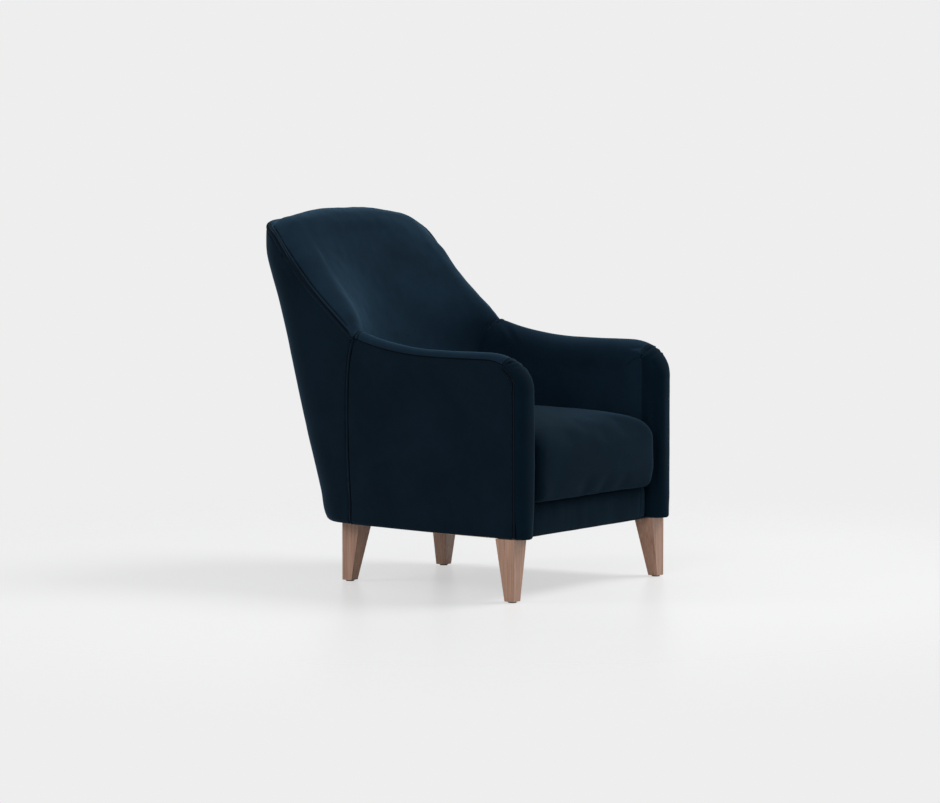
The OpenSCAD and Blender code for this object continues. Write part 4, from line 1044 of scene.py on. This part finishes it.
def with_modifier(o, kind, **settings):
    """The object's mesh as this modifier leaves it."""
    put(o.modifiers.new(kind, kind), **settings)
    mesh = bpy.data.meshes.new_from_object(shown(o))
    o.modifiers.clear()
    o.data = mesh
    mesh.shade_smooth()


def swollen(o):
    """The cover swells under its filling's pressure, and small creases settle in it."""
    start = coordinates(o.data)
    sim = o.modifiers.new("Cloth", "CLOTH")
    put(sim.settings, **CLOTH)
    sim.settings.effector_weights.gravity = 0
    put(sim.point_cache, frame_start=1, frame_end=SIM_FRAMES)
    for f in range(1, SIM_FRAMES + 1):
        scene.frame_set(f)
    move = coordinates(shown(o).data) - start
    o.modifiers.clear()
    scene.frame_set(1)
    size = np.linalg.norm(move, axis=1, keepdims=True)
    print("cushion moved by up to", round(float(size.max())*1000, 1), "mm")
    return start + move*np.minimum(1, SWELL_CAP/np.maximum(size, 1e-9))*[1, 1, 0.45]


cushion = loft("seat_cushion_cover", pillow_rings(
    [(i + 3, r, clamp(z, 2, 195)/198) for i, r, z in CUSHION_ROWS], cushion_x, cushion_y0,
    cushion_y1, cushion_z0, SEAT_H - cushion_z0), seat_shaded_look, "cushion")
with_modifier(cushion, "REMESH", mode="VOXEL", voxel_size=0.006)
painted(cushion.data, seat_shaded_look)
co = coordinates(cushion.data)*1000
co += 0.6*np.stack([ripple(co, 95, s) for s in (71, 72, 73)], 1)
cushion.data.vertices.foreach_set("co", (co/1000).ravel())
co = swollen(cushion)*1000
co = np.clip(co, (-cushion_x - 1.5, cushion_y0 - 2, cushion_z0),
             (cushion_x + 1.5, cushion_y1 + 1, SEAT_H + 4))
cushion.data.vertices.foreach_set("co", (co/1000).ravel())
with_modifier(cushion, "SMOOTH", factor=0.5, iterations=12)
with_modifier(cushion, "SUBSURF", levels=1)
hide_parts("seat_cushion")

core = loft("cushion_core_block", pillow_rings(
    CORE_ROWS, cushion_x - 40.4, cushion_y0 + 40.4, cushion_y1 - 40.4, cushion_z0 + COVER_T + 0.4,
    SEAT_H - cushion_z0 - 46 - COVER_T - 0.8, 120, 30), foam_look, "cushion")
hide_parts("cushion_core")

# Zip on the cushion's rear: tape, coil, slider and pull

zip_w, zip_z = cushion_x - 60, cushion_z0 + 65
tape = []
for x in np.linspace(-zip_w, zip_w, 60):
    y = cushion_y1 + 1.2 + 0.15*math.sin(x/17)
    tape.append([(x, y + a, zip_z + b) for a, b in (
        (-0.5, -6), (0.4, -6), (0.6, -1), (0.6, 1), (0.4, 6), (-0.5, 6))])
zip_tape = loft("cushion_zip_tape", tape, tape_look, "cushion")
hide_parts("cushion_zip")
verts, faces = [], []
for x in np.arange(-zip_w + 4, zip_w - 4, 2.6):
    base = len(verts)
    for a in np.linspace(0, 2*math.pi, 9)[:-1]:
        y, z = cushion_y1 + 2.2 + 0.7*math.sin(a), zip_z + 2.1*math.cos(a)
        verts += [(x - 0.75, y, z), (x + 0.75, y, z)]
    for j in range(8):
        a, b = base + 2*j, base + 2*((j + 1) % 8)
        faces.append([a, a + 1, b + 1, b])
    faces += [[base + 2*j for j in range(8)], [base + 2*j + 1 for j in range(7, -1, -1)]]
make_object("cushion_zip_coil", verts, faces, glide_look, "cushion")
slide_x = zip_w - 14
slider = [[(slide_x - a*x, cushion_y1 + y, zip_z + b*z) for x, z in round_box(1, 1, 0.6, 24)]
          for y, a, b in ((1.9, 4, 2.6), (2.3, 4.8, 3.2), (3.3, 4.8, 3.2), (3.9, 4, 2.4))]
pull = [[(slide_x - 8 - 9*x, cushion_y1 + y, zip_z - 0.5 + 1.9*z)
         for x, z in round_box(1, 1, 0.7, 24)] for y in (3.9, 4.8)]
for name, rings in (("slider", slider), ("pull", pull)):
    loft("cushion_zip_" + name, rings, steel_look, "cushion")


# Seat deck, springs and back webbing

def deck_waves(p):
    """The deck is quilted lightly, and sags a little."""
    return 0.5*np.cos(p[..., 0]/26)*np.cos(p[..., 1]/31) - 0.9


deck_y = np.linspace(split_y + FIT, web_y(deck_z) - 2, 4)
deck_points = refined([[(x, y, deck_z) for x in np.linspace(-corner_x, corner_x, 4)]
                       for y in deck_y], (1, 1, 1, 1), 9.0)
deck, = cover("deck_pad", deck_points, felt_look, [sewn(k, "free") for k in range(4)], turned=True,
              thick=(9, 9.4), uneven=0.3, seed=81, extra=deck_waves)

lo, hi = (np.array(k)*1000 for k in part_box("seat_springs"))
loops = math.floor((hi[1] - lo[1] - 30)/SPRING_PITCH)
lead = (hi[1] - lo[1] - loops*SPRING_PITCH)/2
step = (hi[0] - lo[0] - SPRING_W - WIRE_D)/(SPRINGS - 1)
wire = [(0, lo[1] + 0.4)]
for t in np.arange(0, loops/2 + 1e-6, 1/24):
    turn = 2*math.pi*t
    wire.append((SPRING_W/2*math.sin(turn)*(1 - 0.18*math.cos(turn)**2),
                 lo[1] + lead + t*2*SPRING_PITCH))
wire.append((0, hi[1] - 0.4))
curve = put(bpy.data.curves.new("spring_wire", "CURVE"), dimensions="3D", bevel_resolution=2,
            bevel_depth=(WIRE_D/2 - 0.05)/1000, use_fill_caps=True)
for k in range(SPRINGS):
    s = curve.splines.new("POLY")
    s.points.add(len(wire) - 1)
    for point, (x, y) in zip(s.points, wire):
        z = (lo[2] + hi[2])/2 + 1.5*math.sin(math.pi*(y - lo[1])/(hi[1] - lo[1]))
        point.co = ((x + (k - (SPRINGS - 1)/2)*step)/1000, y/1000, z/1000, 1)
holder = placed("spring_curve", curve)
mesh = bpy.data.meshes.new_from_object(shown(holder))
bpy.data.objects.remove(holder)
painted(mesh, steel_look)
springs = stand("seat_springs_wire", mesh)
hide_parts("seat_springs")

lo, hi = (np.array(k)*1000 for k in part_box("back_webbing"))
verts, faces = [], []
for k in range(STRAPS):
    zs = np.linspace(0, STRAP_W, 13) + lerp(lo[2], hi[2] - STRAP_W, k/(STRAPS - 1))
    p = np.array([[(x, web_y(z) + 0.25 + 0.2*math.sin(x/40 + k), z)
                   for x in np.linspace(lo[0], hi[0], 60)] for z in zs])
    faces += (shell_faces(*p.shape[:2])[:, ::-1] + len(verts)).tolist()
    verts += stacked(p, p + [0, 1.2, 0]).tolist()
webbing = make_object("back_webbing_straps", verts, faces, elastic_look)
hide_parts("back_webbing")


# Dust cover under the seat, cut round the legs

DUST_IN, ROUND_LEG = 19, 2      # millimetres in from the covers, and free round each leg

half = [(side_x(y, LEG_H, DUST_IN), y)
        for y in np.linspace(border_y + 8, rear_y(LEG_H) - HEM_R - CORNER_R, 60)]
half += [tuple(back_outline(q, LEG_H, DUST_IN))
         for q in np.linspace(SIDE_SHARE, CORNER_SHARE, 30)[1:]]
p = np.array([[(x*u, y, LEG_H - 0.2) for u in np.linspace(-1, 1, 90)] for x, y in half])
share = (p[..., 1] - p[0, 0, 1])/(p[-1, 0, 1] - p[0, 0, 1])
p[..., 2] -= (1.6*np.sin(np.pi*share.clip(0, 1))*(1 - (p[..., 0]/260)**2).clip(0, 1)
              + 0.25*(1 + ripple(p, 60, 91)).clip(0, 2))
dust = make_object("dust_cover_cloth", stacked(p - [0, 0, 0.7], p), shell_faces(*p.shape[:2]),
                   cambric_look)
for leg in ("leg_front_left", "leg_front_right", "leg_rear_left", "leg_rear_right"):
    lo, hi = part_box(leg)
    free = Vector((ROUND_LEG, ROUND_LEG, 0))/1000
    lo, hi = lo - free, hi + free
    if "front" in leg:
        lo.y -= 0.06
        lo.x, hi.x = (lo.x - 0.06, hi.x) if "left" in leg else (lo.x, hi.x + 0.06)
    bpy.ops.mesh.primitive_cube_add(size=1, location=((lo.x + hi.x)/2, (lo.y + hi.y)/2, LEG_H/1000))
    cutter = bpy.context.object
    cutter.scale = (hi.x - lo.x, hi.y - lo.y, 0.02)
    bpy.context.view_layer.update()
    with_modifier(dust, "BOOLEAN", object=cutter, operation="DIFFERENCE", solver="EXACT")
    bpy.data.objects.remove(cutter)
painted(dust.data, cambric_look)
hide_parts("dust_cover")


# CAD pieces that stay: softened edges and their own finish

def dressed(names, material, bevel):
    for name in names:
        o = nodes[name]
        painted(o.data, material)
        put(o.modifiers.new("Weld", "WELD"), merge_threshold=1e-5)
        put(o.modifiers.new("Bevel", "BEVEL"), width=bevel/1000, segments=2,
            limit_method="ANGLE", angle_limit=math.radians(38))


dressed([n for n in nodes if n.startswith(("leg_front", "leg_rear"))], walnut_look, 1.6)
dressed([n for n in nodes if n.endswith(("rail", "rail_left", "rail_right", "blocks"))
         or "post" in n or "board" in n or "batten" in n], timber_look, 1.2)
dressed(["spring_clips", "leg_bolts", "leg_tee_nuts"], steel_look, 0.3)
dressed(["leg_glides"], glide_look, 0.5)


# Studio: pale ground that fades into a pale background, and soft lamps

def lamp(name, at, aim, size, power):
    o = placed(name, put(bpy.data.lights.new(name, "AREA"), shape="DISK", size=size, energy=power))
    o.location = at
    o.rotation_euler = (Vector(aim) - Vector(at)).to_track_quat("-Z", "Y").to_euler()


lamp("key", (2.0, -2.0, 4.3), (0, 0, 0.5), 2.6, 190)
lamp("fill", (-4.5, -1.9, 2.5), (0, 0, 0.5), 2.6, 92)
lamp("rim", (-3.2, 3.2, 2.8), (0, 0.1, 0.6), 1.8, 60)

PALE = (0.855, 0.855, 0.855, 1)       # what stands behind the chair
DAYLIGHT = (0.95, 0.98, 1, 1)         # what falls on it from all round

world = bpy.data.worlds.new("studio")
scene.world = world
world.use_nodes = True
tree = world.node_tree
tree.nodes.clear()
path = node(tree, "LightPath")
seen = path.outputs["Is Camera Ray"]
for kind in ("Is Glossy Ray", "Is Transmission Ray"):
    seen = node(tree, "Math", {0: seen, 1: path.outputs[kind]}, operation="MAXIMUM").outputs[0]
mix = node(tree, "MixShader", {
    0: seen, 1: node(tree, "Background", {0: DAYLIGHT, 1: 0.45}).outputs[0],
    2: node(tree, "Background", {0: PALE}).outputs[0]})
node(tree, "OutputWorld", {0: mix.outputs[0]})

FLOOR_GLOW = 0.6                      # share of the pale background in what is seen of the floor
FLOOR_CLEAR, FLOOR_GONE = 0.6, 2.4    # metres from the middle where the floor fades out

bpy.ops.mesh.primitive_plane_add(size=14)
floor = bpy.context.object
floor.name = "floor"
m, tree, shader = look("floor", 0.32, Base_Color=(0.8, 0.8, 0.8, 1), Specular_IOR_Level=0.3)
far = node(tree, "VectorMath", {0: node(tree, "TexCoord").outputs["Object"]}, operation="LENGTH")
fade = node(tree, "MapRange", {
    "Value": far.outputs["Value"], "From Min": FLOOR_CLEAR, "From Max": FLOOR_GONE,
    "To Min": 1.0, "To Max": 0.0}, interpolation_type="SMOOTHSTEP")
glow = node(tree, "Math", {0: node(tree, "LightPath").outputs["Is Camera Ray"], 1: FLOOR_GLOW},
            operation="MULTIPLY")
pale = node(tree, "MixShader", {
    0: glow.outputs[0], 1: shader.outputs[0], 2: node(tree, "Emission", {0: PALE}).outputs[0]})
mix = node(tree, "MixShader", {
    0: fade.outputs[0], 1: node(tree, "BsdfTransparent").outputs[0], 2: pale.outputs[0]})
tree.links.new(mix.outputs[0], tree.nodes["Material Output"].inputs[0])
floor.data.materials.append(m)

CAMERA_AT = (-8.180, -5.7735, 1.2366)
CAMERA_TOWARDS = (0.8153, 0.5736, -0.0794)
FOCAL_LENGTH = 155.95

lens = put(bpy.data.cameras.new("camera"), sensor_width=36, lens=FOCAL_LENGTH, clip_end=100)
camera = placed("camera", lens)
camera.location = CAMERA_AT
camera.rotation_euler = Vector(CAMERA_TOWARDS).to_track_quat("-Z", "Y").to_euler()
scene.camera = camera
scene.view_settings.view_transform = "Standard"
